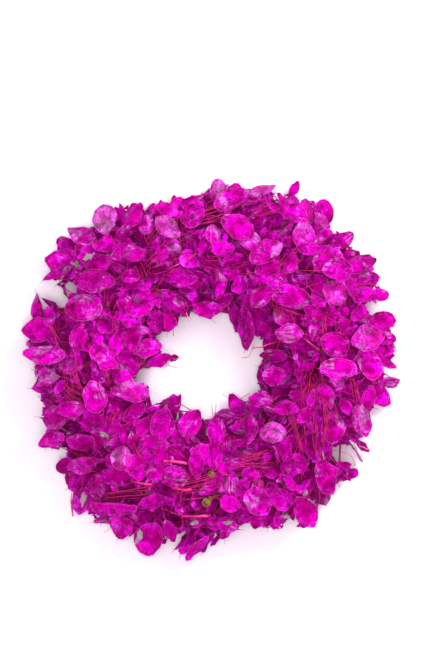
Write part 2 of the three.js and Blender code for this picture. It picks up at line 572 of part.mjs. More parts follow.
// The whole tangle: main stems first, then pods and their stalks, each clear of the rest
class Wreath {
  constructor() {
    this.sprays = [];
    this.stems = [];
    this.pods = [];
    this.stalks = [];
    for (const row of ROWS) {
      for (let station = 0; station < STATIONS; station++) {
        this.addSpray(row, station);
      }
    }
  }

  addSpray(row, station) {
    const stem = mainStem(row, station);
    const spray = this.sprays.length;
    const name = `spray_${row.name}_${String(station + 1).padStart(2, "0")}`;
    this.sprays.push({ name, row, stem, parts: [] });
    for (let i = 0; i + 1 < stem.points.length; i++) {
      this.stems.push(stretch(stem.points[i], stem.points[i + 1], STEM_RADIUS, spray));
    }
  }

  podIsClear(pod) {
    return (
      pod.rim.every((point) => point[2] > FLOOR) &&
      platePoints(pod).every(clearOfRing) &&
      !this.pods.some((other) => podsTooNear(pod, other)) &&
      !this.stems.some((stem) => stretchNearPod(stem, pod)) &&
      !this.stalks.some((stalk) => stretchNearPod(stalk, pod))
    );
  }

  stalkIsClear(stalk, ownPod) {
    const seat = plus(stalk.q, minus(stalk.p, stalk.q), STALK_SEAT);
    const inner = stretch(stalk.p, seat, stalk.radius);
    return (
      [0.1, 0.3, 0.5, 0.7, 0.9].every((share) =>
        clearOfRing(plus(stalk.p, minus(stalk.q, stalk.p), share)),
      ) &&
      !this.pods.some((pod) => pod !== ownPod && stretchNearPod(inner, pod)) &&
      !this.stems.some((stem) => stem.spray !== stalk.spray && stretchesTooNear(stem, stalk)) &&
      !this.stalks.some((other) =>
        other.spray === stalk.spray
          ? stretchesTooNear(outerPart(other), outerPart(stalk))
          : stretchesTooNear(other, stalk),
      )
    );
  }

  // The stalk that suits a pod best: short, and in line with it
  findStalk(pod) {
    const choices = [];
    this.sprays.forEach((spray, index) => {
      for (let share = FIRST_ROOT; share <= 1; share += ROOT_STEP) {
        const root = alongStem(spray.stem, share);
        const way = minus(pod.base, root);
        const length = Math.hypot(...way);
        const inLine = dot(way, pod.along) / length;
        const fits = length > SHORTEST_STALK && length < LONGEST_STALK;
        if (fits && inLine > LEAST_IN_LINE) {
          choices.push({ root, index, cost: length * (BEND_COST - inLine) });
        }
      }
    });
    choices.sort((a, b) => a.cost - b.cost);
    return choices.find(({ root, index }) =>
      this.stalkIsClear(stretch(root, pod.base, STALK_RADIUS, index), pod),
    );
  }

  add(pod, root, index) {
    this.pods.push(pod);
    this.stalks.push(stretch(root, pod.base, STALK_RADIUS, index));
    this.sprays[index].parts.push({ pod, root });
  }

  // A pod that the photograph shows: it keeps its place and outline seen from above, and
  // sinks from the mound's surface until it lies clear
  addSeen([x, y, heading, seenLength, seenWidth, layer], random) {
    const place = [
      (x - MIDDLE_IN_PIXELS[0]) * MM_PER_PIXEL,
      (MIDDLE_IN_PIXELS[1] - y) * MM_PER_PIXEL,
      0,
    ];
    const ahead = [Math.cos(radians(heading)), Math.sin(radians(heading)), 0];
    const aside = [-ahead[1], ahead[0], 0];
    const length = seenLength * MM_PER_PIXEL;
    const width = seenWidth * MM_PER_PIXEL;
    const pitch = Math.atan(moundSlope(place, ahead)) * PITCH_FOLLOWS;
    const trueWidth = Math.max(width, LEAST_WIDTH * length);
    const fall = moundSlope(place, aside);
    const slant = Math.acos(clamp(width / trueWidth, 0, 1));
    const top = moundHeight(Math.hypot(place[0], place[1])) - layer * LAYER_DEPTH;
    for (let sink = -STAND_PROUD; sink < SINK_STEPS; sink++) {
      for (let attempt = 1; attempt <= ATTEMPTS; attempt++) {
        const tilt = pitch + radians(PITCH_DRAW) * (random() - 0.5) * attempt;
        const chance = radians(ROLL_DRAW) * (random() - 0.5) * attempt;
        const least = Math.atan(fall) * ROLL_FOLLOWS + chance;
        const roll = slant > Math.abs(least) ? slant * (Math.sign(fall) || 1) : least;
        const along = plus(scaled(ahead, Math.cos(tilt)), UP, Math.sin(tilt));
        const lifted = cross(along, aside);
        const across = plus(scaled(aside, Math.cos(roll)), lifted, Math.sin(roll));
        const middle = [place[0], place[1], top - sink];
        const flat = slant > Math.abs(least) ? trueWidth : width / Math.cos(roll);
        const pod = makePod(middle, along, across, length / Math.cos(tilt), flat);
        const stalk = this.podIsClear(pod) && this.findStalk(pod);
        if (stalk) {
          this.add(pod, stalk.root, stalk.index);
          return true;
        }
      }
    }
    return false;
  }

  // A pod of a length that other pods hide, drawn at random from its own spray
  drawHidden(row, stem, random) {
    const share = FIRST_ROOT + (1 - FIRST_ROOT) * random();
    const root = alongStem(stem, share);
    const step = ROOT_STEP;
    const onward = unit(minus(alongStem(stem, share + step), alongStem(stem, share - step)));
    const around = Math.atan2(root[1], root[0]);
    const out = sectionDirection(around, radians(row.at + row.spread * (random() - 0.5) - row.droop));
    const aside = cross(onward, out);
    const risen = plus(scaled(onward, HIDDEN.onward * random()), out, HIDDEN.outward);
    const run = unit(plus(risen, aside, random() - 0.5));
    const base = plus(root, run, HIDDEN.shortest + HIDDEN.stalkDraw * random());
    const turned = plus(run, onward, HIDDEN.turn * random());
    const along = unit(plus(turned, UP, -HIDDEN.fall * random()));
    const length = HIDDEN.length + HIDDEN.lengthDraw * random();
    const width = length * (LEAST_WIDTH + HIDDEN.widthDraw * random());
    const lean = (random() - 0.5) * HIDDEN.leanDraw;
    const level = unit(cross(out, along));
    const across = unit(plus(scaled(level, Math.cos(lean)), cross(along, level), Math.sin(lean)));
    const pod = makePod(plus(base, along, length / 2), along, across, length, width);
    return { pod, root };
  }

  // Of the hidden pods that a spray could add, the one with the most room round it
  addHidden(index, random) {
    const { row, stem } = this.sprays[index];
    let best = { room: 0 };
    for (let attempt = 0; attempt < FILL_TRIES; attempt++) {
      const { pod, root } = this.drawHidden(row, stem, random);
      const room = Math.min(...this.pods.map((o) => Math.hypot(...minus(o.middle, pod.middle))));
      const stalk = stretch(root, pod.base, STALK_RADIUS, index);
      const wins = room > best.room && insideMound(pod);
      if (wins && this.podIsClear(pod) && this.stalkIsClear(stalk, pod)) {
        best = { pod, root, room };
      }
    }
    if (best.pod) {
      this.add(best.pod, best.root, index);
    }
  }

  grow() {
    for (const layer of [0, 1, 2]) {
      const pods = SEEN_PODS.map((seen, i) => ({ seen, i })).filter(({ seen }) => seen[5] === layer);
      pods.sort((a, b) => b.seen[3] - a.seen[3] || a.i - b.i);
      pods.forEach(({ seen, i }) => this.addSeen(seen, seededRandom(101 + i)));
    }
    const most = Math.max(...Object.values(FILL_COUNTS));
    for (let round = 0; round < most; round++) {
      this.sprays.forEach(({ row }, i) => {
        if (round < FILL_COUNTS[row.name]) {
          this.addHidden(i, seededRandom(5003 + 97 * round + i));
        }
      });
    }
  }
}

// Finishes, as the photograph shows them
const finish = (color, roughness, metalness) =>
  new THREE.MeshStandardMaterial({ color, roughness, metalness, flatShading: true });
const ROW_COLOURS = { inner: 0xb0148c, top: 0xc41f9e, outer: 0xd02cb4 };

const wreath = new THREE.Group();
function addPiece(name, solid, material) {
  const mesh = new THREE.Mesh(geometryOf(solid), material);
  mesh.name = name;
  wreath.add(mesh);
}

addPiece("base_ring", strawRing(), finish(0xb99a5b, 0.9, 0));
addPiece("binding_wire", bindingWire(), finish(0x2f5a34, 0.4, 0.6));

const foliage = new Wreath();
foliage.grow();
for (const spray of foliage.sprays) {
  const pieces = [
    tube(spray.stem.points, spray.stem.outs, STEM_RADIUS),
    ...spray.parts.map(({ pod, root }) => podSolid(pod, root)),
  ];
  addPiece(spray.name, wasm.Manifold.union(pieces), finish(ROW_COLOURS[spray.row.name], 0.6, 0));
}

export default wreath;
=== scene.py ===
"""A wreath of dried lunaria pods, dyed magenta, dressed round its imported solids.

Metres, +Z up. The wreath lies on its back with the middle of its straw ring at the origin. Every
spray's pods and stalks are read back from its solid, and finer ones are grown in their places.
Smaller pods, bare stalks and scraps then fill the tangle between them.
"""

import logging
import math
import random
from dataclasses import dataclass, field, replace
from enum import Enum
from functools import reduce

import bmesh
import bpy
from mathutils import Matrix, Vector, noise
from mathutils.bvhtree import BVHTree


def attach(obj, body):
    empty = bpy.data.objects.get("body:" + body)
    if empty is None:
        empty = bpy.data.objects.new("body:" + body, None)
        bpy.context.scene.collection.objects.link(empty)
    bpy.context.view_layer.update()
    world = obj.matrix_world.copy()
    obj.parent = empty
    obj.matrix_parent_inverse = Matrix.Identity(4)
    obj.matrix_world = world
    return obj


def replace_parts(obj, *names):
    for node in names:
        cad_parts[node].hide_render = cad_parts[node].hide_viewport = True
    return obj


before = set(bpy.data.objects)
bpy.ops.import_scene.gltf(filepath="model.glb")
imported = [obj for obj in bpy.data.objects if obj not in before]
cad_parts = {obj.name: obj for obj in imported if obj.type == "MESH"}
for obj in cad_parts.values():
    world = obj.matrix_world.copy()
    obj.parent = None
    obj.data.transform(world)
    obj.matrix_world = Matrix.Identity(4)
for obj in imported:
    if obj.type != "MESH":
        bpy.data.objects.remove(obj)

MM = 0.001
UP = Vector((0.0, 0.0, 1.0))
SKY = 0.2  # a height over everything
PHOTO_WIDTH, PHOTO_HEIGHT = 430, 645
WIDTH_IN_MM, WIDTH_IN_PIXELS = 394, 375  # of the wreath, across its widest pods
PIXEL = WIDTH_IN_MM / WIDTH_IN_PIXELS * MM  # what one pixel of the photograph covers
MIDDLE_IN_PIXELS = (211.0, 369.5)  # of the ring, in the photograph
log = logging.getLogger("wreath")

Pair = tuple[float, float]
Surface = tuple[list[Vector], list[tuple[int, ...]]]  # points, and faces by their numbers
Corners = set[bmesh.types.BMVert]
Cell = tuple[int, int]


def from_pixels(x: float, y: float) -> Vector:
    """The level place that a pixel of the photograph shows."""
    return Vector(((x - MIDDLE_IN_PIXELS[0]) * PIXEL, (MIDDLE_IN_PIXELS[1] - y) * PIXEL, 0.0))


def smooth_path(corners: list[Vector], steps: int = 4) -> list[Vector]:
    """Points on an even curve through corners.

    Args:
        corners: the points that it runs through.
        steps: straight pieces between two of them.

    Returns:
        The points.
    """
    path = [corners[0]]
    for i in range(len(corners) - 1):
        before, after = corners[max(i - 1, 0)], corners[min(i + 2, len(corners) - 1)]
        start, end = corners[i], corners[i + 1]
        for k in range(1, steps + 1):
            t = k / steps
            even = start.lerp(end, t)
            bend = (start - before) * (t * (1 - t) ** 2) + (end - after) * ((1 - t) * t * t)
            path.append(even + bend * 0.5)
    return path


def level_way(angle: float) -> Vector:
    """The level direction at an angle round the middle."""
    return Vector((math.cos(angle), math.sin(angle), 0.0))


def clockwise(around: float) -> Vector:
    """The level way that the sprays run, at an angle round the middle."""
    return Vector((math.sin(around), -math.cos(around), 0.0))


def from_middle(point: Vector) -> float:
    """How far a point lies from the upright line through the middle."""
    return math.hypot(point.x, point.y)


def clamp(value: float, low: float, high: float) -> float:
    """The value, held between two limits."""
    return max(low, min(high, value))


def smoothstep(value: float) -> float:
    """An S-curve from 0 to 1."""
    share = clamp(value, 0.0, 1.0)
    return share * share * (3.0 - 2.0 * share)


# The build of the wreath


@dataclass(frozen=True)
class RingPlan:
    """Sizes of the bound straw ring, and the places that are measured from its centre line."""

    radius: float = 112 * MM
    height: float = 14.2 * MM  # of the centre line
    straw: float = 15.2 * MM  # half its thickness between two turns of the wire
    groove: float = 13 * MM  # and under a turn
    stem_rise: float = 16.4 * MM  # the stems over the centre line
    wire_low: float = 13.55 * MM  # the wire under the ring
    wire_high: float = 18.8 * MM  # and over the stems
    wire_opening: float = 0.4  # share of a turn that the wire stops short
    stations: int = 16

    @property
    def pitch(self) -> float:
        """Angle round the ring between two turns of the wire."""
        return 2 * math.pi / self.stations

    def outward(self, around: float, section: float) -> Vector:
        """Direction away from the centre line: section 0 points outwards and a quarter up."""
        level = math.cos(section)
        return Vector((level * math.cos(around), level * math.sin(around), math.sin(section)))

    def place(self, around: float, section: float, distance: float) -> Vector:
        """The point at a distance from the centre line."""
        centre = level_way(around) * self.radius + UP * self.height
        return centre + self.outward(around, section) * distance

    def distance(self, point: Vector) -> float:
        """How far a point is from the centre line."""
        return math.hypot(from_middle(point) - self.radius, point.z - self.height)

    def section_of(self, point: Vector) -> float:
        """The angle in the ring's section at which a point lies."""
        return math.atan2(point.z - self.height, from_middle(point) - self.radius)


@dataclass(frozen=True)
class Mound:
    """The height of the foliage over a distance from the middle of the ring."""

    edge: float = 12 * MM
    crown: float = 78 * MM
    crown_radius: float = 120 * MM
    outer_half: float = 76 * MM
    inner_half: float = 70 * MM
    power: float = 0.6

    def height(self, radius: float) -> float:
        """Height of the mound."""
        half = self.outer_half if radius > self.crown_radius else self.inner_half
        share = clamp((radius - self.crown_radius) / half, -1.0, 1.0)
        return self.edge + (self.crown - self.edge) * (1.0 - share * share) ** self.power


@dataclass(frozen=True)
class RowPlan:
    """How one row of sprays leaves the ring. Angles are in degrees."""

    name: str
    at: float  # where in the ring's section it starts
    towards: Pair  # where its tips point, at every other station
    lift: float  # of a tip over the ring
    sweep: float  # round the ring, from the cut end to the tip


class Row(Enum):
    """The three rows of sprays."""

    INNER = RowPlan("inner", 155, (164, 172), 27 * MM, 44)
    TOP = RowPlan("top", 90, (78, 108), 38 * MM, 45)
    OUTER = RowPlan("outer", 20, (18, 6), 46 * MM, 45)


RING = RingPlan()
MOUND = Mound()
STEM_END = 5.0  # degrees that a stem end stands back from its wire
LIFT_POWER = 1.4  # the higher, the later a stem leaves the ring
STEM_POINTS = 25
STEM_RADIUS = 1.8 * MM
STEM_TAPER = 0.55  # share of the radius that a stem loses up to its tip
STALK_STEPS = 6
STALK_BENDS = (0.22, 0.03)  # shares of its length over which a stalk keeps its ends' directions


def main_stem(row: RowPlan, station: int) -> list[Vector]:
    """Points along the main stem of a spray, from its cut end to its tip.

    Args:
        row: the row that the spray lies in.
        station: its number round the ring, from 0.

    Returns:
        The points, in order.
    """
    section = math.radians(row.at)
    begin = (station + row.at / 360) * RING.pitch + math.radians(STEM_END)
    free = 2 * STEM_END / row.sweep
    lean = math.radians(row.towards[station % 2])
    points = []
    for i in range(STEM_POINTS):
        share = i / (STEM_POINTS - 1)
        around = begin - math.radians(row.sweep) * share
        lift = row.lift * clamp((share - free) / (1 - free), 0.0, 1.0) ** LIFT_POWER
        on_ring = RING.place(around, section, RING.stem_rise)
        points.append(on_ring + RING.outward(around, lean) * lift)
    return points


@dataclass
class Pod:
    """A flat pod: where it lies, its size, and the root of its stalk."""

    middle: Vector
    along: Vector
    normal: Vector
    length: float
    width: float
    root: Vector
    fade: float | None = None  # how milky it is, where that is known

    @property
    def across(self) -> Vector:
        """Direction of the pod's width."""
        return self.normal.cross(self.along)

    @property
    def base(self) -> Vector:
        """The end that the stalk joins."""
        return self.middle - self.along * (self.length / 2)

    @property
    def tip(self) -> Vector:
        """The end that carries the style."""
        return self.middle + self.along * (self.length / 2)

    def rim(self, count: int = 8) -> list[Vector]:
        """Points round the pod's edge."""
        turns = [2 * math.pi * k / count for k in range(count)]
        return [
            self.middle
            + self.along * (self.length / 2 * math.cos(turn))
            + self.across * (self.width / 2 * math.sin(turn))
            for turn in turns
        ]


@dataclass
class Spray:
    """One spray: the node that it stands for, its main stem and everything that grows on it."""

    node: str
    stem: list[Vector]
    pods: list[Pod] = field(default_factory=list)
    fillers: list[Pod] = field(default_factory=list)


@dataclass(frozen=True)
class PodReader:
    """Finds the pods in a spray's solid by the two raised middles that each pod has."""

    thickness: float = 1.6 * MM
    tolerance: float = 0.05 * MM
    weld: float = MM / 500  # corners nearer than this are one
    least_shared: int = 7  # rim corners that both middles of a pod join

    def read(self, node: bpy.types.Object, stem: list[Vector]) -> list[Pod]:
        """Reads one spray.

        Args:
            node: the spray's solid.
            stem: the points of its main stem.

        Returns:
            Its pods.
        """
        solid = bmesh.new()
        solid.from_mesh(node.data)
        bmesh.ops.remove_doubles(solid, verts=solid.verts, dist=self.weld)
        joined = {v: {e.other_vert(v) for e in v.link_edges} for v in solid.verts}
        busy = [v for v in solid.verts if len(joined[v]) > self.least_shared]
        pods = []
        for i, one in enumerate(busy):
            for other in busy[i + 1:]:
                apart = (one.co - other.co).length
                rim = joined[one] & joined[other]
                if abs(apart - self.thickness) < self.tolerance and len(rim) >= self.least_shared:
                    pods.append(self._pod(one, other, rim, joined, stem))
        solid.free()
        return pods

    @staticmethod
    def _pod(one: bmesh.types.BMVert, other: bmesh.types.BMVert, rim: Corners,
             joined: dict[bmesh.types.BMVert, Corners], stem: list[Vector]) -> Pod:
        """The pod between two raised middles.

        Args:
            one: the first middle.
            other: the second one.
            rim: the corners that both join.
            joined: the neighbours of every corner.
            stem: the points of the main stem.

        Returns:
            The pod.
        """
        middle = (one.co + other.co) / 2
        normal = (one.co - other.co).normalized()
        corners = list(rim)
        pairs = [(a, b) for k, a in enumerate(corners) for b in corners[k + 1:]]
        left, right = min(pairs, key=lambda pair: (pair[0].co - pair[1].co).length)
        base = (left.co + right.co) / 2
        along = (middle - base).normalized()
        on_ring = Vector((middle.x, middle.y, 0)).normalized() * RING.radius
        if normal.dot(middle - on_ring) < 0:
            normal = -normal
        normal = (normal - along * normal.dot(along)).normalized()
        across = normal.cross(along)
        width = 2 * max(abs((v.co - middle).dot(across)) for v in corners)
        own = rim | {one, other}
        ridge = (joined[left] & joined[right]) - own
        far = ((joined[left] | joined[right]) - own) - ridge
        mean = sum((v.co for v in far), Vector()) / len(far) if far else base
        root = min(stem, key=lambda point: (point - mean).length)
        return Pod(middle, along, normal, 2 * (middle - base).length, width, root)


# The tangle, for testing new pods against


class Thicket:
    """Everything that stands so far, as coarse surfaces that rays and pods can be tried on."""

    def __init__(self, batch: int = 40) -> None:
        """Starts empty, and settles what it gets in batches."""
        self.batch = batch
        self.settled: Surface = ([], [])
        self.loose: Surface = ([], [])
        self.waiting = 0
        self.trees: list[BVHTree | None] = [None, None]

    @staticmethod
    def _append(store: Surface, surface: Surface) -> None:
        """Adds a surface to a store."""
        first = len(store[0])
        store[0].extend(surface[0])
        store[1].extend(tuple(first + i for i in face) for face in surface[1])

    def add(self, surface: Surface) -> None:
        """Adds a surface."""
        self._append(self.loose, surface)
        self.waiting += 1
        if self.waiting >= self.batch:
            self._append(self.settled, self.loose)
            self.loose = ([], [])
            self.waiting = 0
            self.trees[0] = BVHTree.FromPolygons(*self.settled)
            self.trees[1] = None
        else:
            self.trees[1] = BVHTree.FromPolygons(*self.loose)

    def add_mesh(self, mesh: bpy.types.Mesh) -> None:
        """Adds a mesh."""
        points = [v.co.copy() for v in mesh.vertices]
        self.add((points, [tuple(face.vertices) for face in mesh.polygons]))

    def hit(self, origin: Vector, direction: Vector) -> float | None:
        """How far a ray goes before it meets something, or None."""
        found = [tree.ray_cast(origin, direction)[3] for tree in self.trees if tree]
        met = [distance for distance in found if distance is not None]
        return min(met) if met else None

    def meets(self, surface: Surface) -> bool:
        """Whether a surface cuts what stands."""
        shape = BVHTree.FromPolygons(*surface)
        return any(tree.overlap(shape) for tree in self.trees if tree)


def plate_of(pod: Pod, swell: float = 0.8 * MM, share: float = 1.0) -> Surface:
    """A pod as 16 triangles.

    Args:
        pod: the pod.
        swell: half its thickness in the middle.
        share: of its length and width that the plate has.

    Returns:
        Its points and faces.
    """
    rim = replace(pod, length=pod.length * share, width=pod.width * share).rim()
    count = len(rim)
    points = rim + [pod.middle + pod.normal * swell, pod.middle - pod.normal * swell]
    faces = []
    for i in range(count):
        after = (i + 1) % count
        faces += [(i, after, count), (after, i, count + 1)]
    return points, faces


class Plan:
    """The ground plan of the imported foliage, small gaps closed, that added pods stay inside."""

    def __init__(self, thicket: Thicket, step: float = 3 * MM, reach: float = 210 * MM) -> None:
        """Looks down on the foliage in a grid of rays.

        Args:
            thicket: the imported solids.
            step: distance between two rays.
            reach: half the side of the grid.
        """
        self.step = step
        self.reach = reach
        count = int(2 * reach / step) + 1
        covered = set()
        for i in range(count):
            for j in range(count):
                if thicket.hit(self.over(i, j), -UP) is not None:
                    covered.add((i, j))
        around = [(di, dj) for di in (-1, 0, 1) for dj in (-1, 0, 1)]
        wide = {(i + di, j + dj) for i, j in covered for di, dj in around}
        closed = {(i, j) for i, j in wide if all((i + di, j + dj) in wide for di, dj in around)}
        grid = {(i, j) for i in range(count) for j in range(count)}
        self.cells = grid - self._open_ground(grid - closed, count)
        self.ceiling: dict[Cell, float] = {}
        self.gaps: set[Cell] = set()

    @staticmethod
    def _open_ground(free: set[Cell], count: int) -> set[Cell]:
        """The free cells that join the ground outside the wreath or the hole in its middle.

        Args:
            free: the cells that the foliage leaves free.
            count: cells along a side of the grid.

        Returns:
            Those of them that no foliage encloses.
        """
        front = [(0, 0), (count // 2, count // 2)]
        reached = set(front)
        while front:
            i, j = front.pop()
            for cell in ((i + 1, j), (i - 1, j), (i, j + 1), (i, j - 1)):
                if cell in free and cell not in reached:
                    reached.add(cell)
                    front.append(cell)
        return reached

    def over(self, i: int, j: int) -> Vector:
        """The place high over a cell."""
        return Vector((i * self.step - self.reach, j * self.step - self.reach, SKY))

    def cell(self, point: Vector) -> Cell:
        """The cell of the grid that a point lies over."""
        return round((point.x + self.reach) / self.step), round((point.y + self.reach) / self.step)

    def covers(self, point: Vector) -> bool:
        """Whether the foliage lies under or over a point."""
        cell = self.cell(point)
        return cell in self.cells and cell not in self.gaps

    def holds(self, point: Vector) -> bool:
        """Whether an added pod may reach a point."""
        cell = self.cell(point)
        return cell in self.cells and point.z < self.ceiling.get(cell, SKY)

    def keep_clear(self, point: Vector) -> None:
        """Keeps added pods from hiding a point from above."""
        cell = self.cell(point)
        self.ceiling[cell] = min(self.ceiling.get(cell, SKY), point.z)

    def keep_tops(self, leaves: Thicket) -> None:
        """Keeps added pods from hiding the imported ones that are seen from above."""
        for i, j in self.cells:
            gone = leaves.hit(self.over(i, j), -UP)
            if gone is not None:
                self.keep_clear(self.over(i, j) - UP * gone)

    def keep_open(self, left: float, top: float, right: float, bottom: float) -> None:
        """Keeps added pods out of a box.

        Args:
            left: its sides, in the photograph's pixels.
            top: as before.
            right: as before.
            bottom: as before.
        """
        low, high = self.cell(from_pixels(left, bottom)), self.cell(from_pixels(right, top))
        for i in range(low[0], high[0] + 1):
            for j in range(low[1], high[1] + 1):
                self.ceiling[(i, j)] = 0.0
                self.gaps.add((i, j))


# Shared mesh work


@dataclass
class Rod:
    """A round stalk or stem along points, with a radius at each of them."""

    points: list[Vector]
    radii: list[float]


def tapered(points: list[Vector], root: float, loss: float) -> Rod:
    """A rod that gets thinner along its points.

    Args:
        points: the points.
        root: its radius at the first of them, in millimetres.
        loss: how much of that is gone at the last of them.

    Returns:
        The rod.
    """
    count = len(points)
    return Rod(points, [(root - loss * i / count) * MM for i in range(count)])


def curved_rod(start: Vector, end: Vector, lean: Vector, radii: Pair, steps: int = 6) -> Rod:
    """A tapered rod on one easy bend.

    Args:
        start: its root.
        end: its tip.
        lean: how far its middle stands off the straight line.
        radii: at the root and at the tip.
        steps: straight pieces along it.

    Returns:
        The rod.
    """
    points = []
    for i in range(steps + 1):
        share = i / steps
        points.append(start.lerp(end, share) + lean * (4 * share * (1 - share)))
    sizes = [radii[0] + (radii[1] - radii[0]) * i / steps for i in range(steps + 1)]
    return Rod(points, sizes)


SIX_SIDES, EIGHT_SIDES = 1, 2  # resolutions of a curve's round section
WELD = MM / 1000  # rod corners nearer than this are one


def rods_mesh(rods: list[Rod], resolution: int = SIX_SIDES) -> bpy.types.Mesh:
    """Sweeps rods into one mesh with closed ends, none of it below the floor.

    Args:
        rods: the rods.
        resolution: of their round section.

    Returns:
        The mesh.
    """
    curve = bpy.data.curves.new("rods", "CURVE")
    curve.dimensions = "3D"
    curve.bevel_depth = 1.0
    curve.bevel_resolution = resolution
    curve.use_fill_caps = True
    for rod in rods:
        spline = curve.splines.new("POLY")
        spline.points.add(len(rod.points) - 1)
        for point, place, radius in zip(spline.points, rod.points, rod.radii):
            point.co = (place.x, place.y, max(place.z, radius), 1.0)
            point.radius = radius
    holder = bpy.data.objects.new("rods", curve)
    mesh = bpy.data.meshes.new_from_object(holder)
    bpy.data.objects.remove(holder)
    bpy.data.curves.remove(curve)
    merged = bmesh.new()
    merged.from_mesh(mesh)
    bmesh.ops.remove_doubles(merged, verts=merged.verts, dist=WELD)
    merged.to_mesh(mesh)
    merged.free()
    return mesh


def paint(mesh: bpy.types.Mesh, slot: int) -> None:
    """Gives every face of a mesh one material slot."""
    mesh.polygons.foreach_set("material_index", [slot] * len(mesh.polygons))


def add_piece(name: str, mesh: bpy.types.Mesh,
              finishes: list[bpy.types.Material]) -> bpy.types.Object:
    """Shows a mesh as a piece of the wreath.

    Args:
        name: the piece's name.
        mesh: its finished mesh, in place.
        finishes: its materials, in the order of the mesh's slots.

    Returns:
        The piece.
    """
    for finish in finishes:
        mesh.materials.append(finish)
    mesh.polygons.foreach_set("use_smooth", [True] * len(mesh.polygons))
    piece = bpy.data.objects.new(name, mesh)
    bpy.context.scene.collection.objects.link(piece)
    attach(piece, "root")
    log.info("%s: %d faces", name, len(mesh.polygons))
    return piece


class Heap:
    """Joins many small meshes into one."""

    def __init__(self) -> None:
        """Starts empty."""
        self.whole = bmesh.new()
        self.scratch = bpy.data.meshes.new("scratch")

    def add(self, part: bmesh.types.BMesh) -> None:
        """Takes a part in and frees it."""
        part.to_mesh(self.scratch)
        part.free()
        self.whole.from_mesh(self.scratch)

    def add_mesh(self, mesh: bpy.types.Mesh) -> None:
        """Takes a mesh in and removes it."""
        self.whole.from_mesh(mesh)
        bpy.data.meshes.remove(mesh)

    def finish(self, name: str) -> bpy.types.Mesh:
        """The joined mesh."""
        mesh = bpy.data.meshes.new(name)
        self.whole.to_mesh(mesh)
        self.whole.free()
        bpy.data.meshes.remove(self.scratch)
        return mesh


# Pods


@dataclass(frozen=True)
class PodLook:
    """How one pod differs from a flat oval."""

    cup: float  # rise of its edge
    curl: float  # rise of its two ends
    twist: float
    crumple: float  # height of its dents
    fold: float  # angle of one side, in radians
    fold_at: float  # where across it the fold runs, from -1 to 1
    point: float  # how pointed its ends are
    ragged: float  # how deep its edge is torn
    tone: float  # strength of its colour
    fade: float  # how milky it is
    bare: float  # how much of it the dye missed
    seed: float


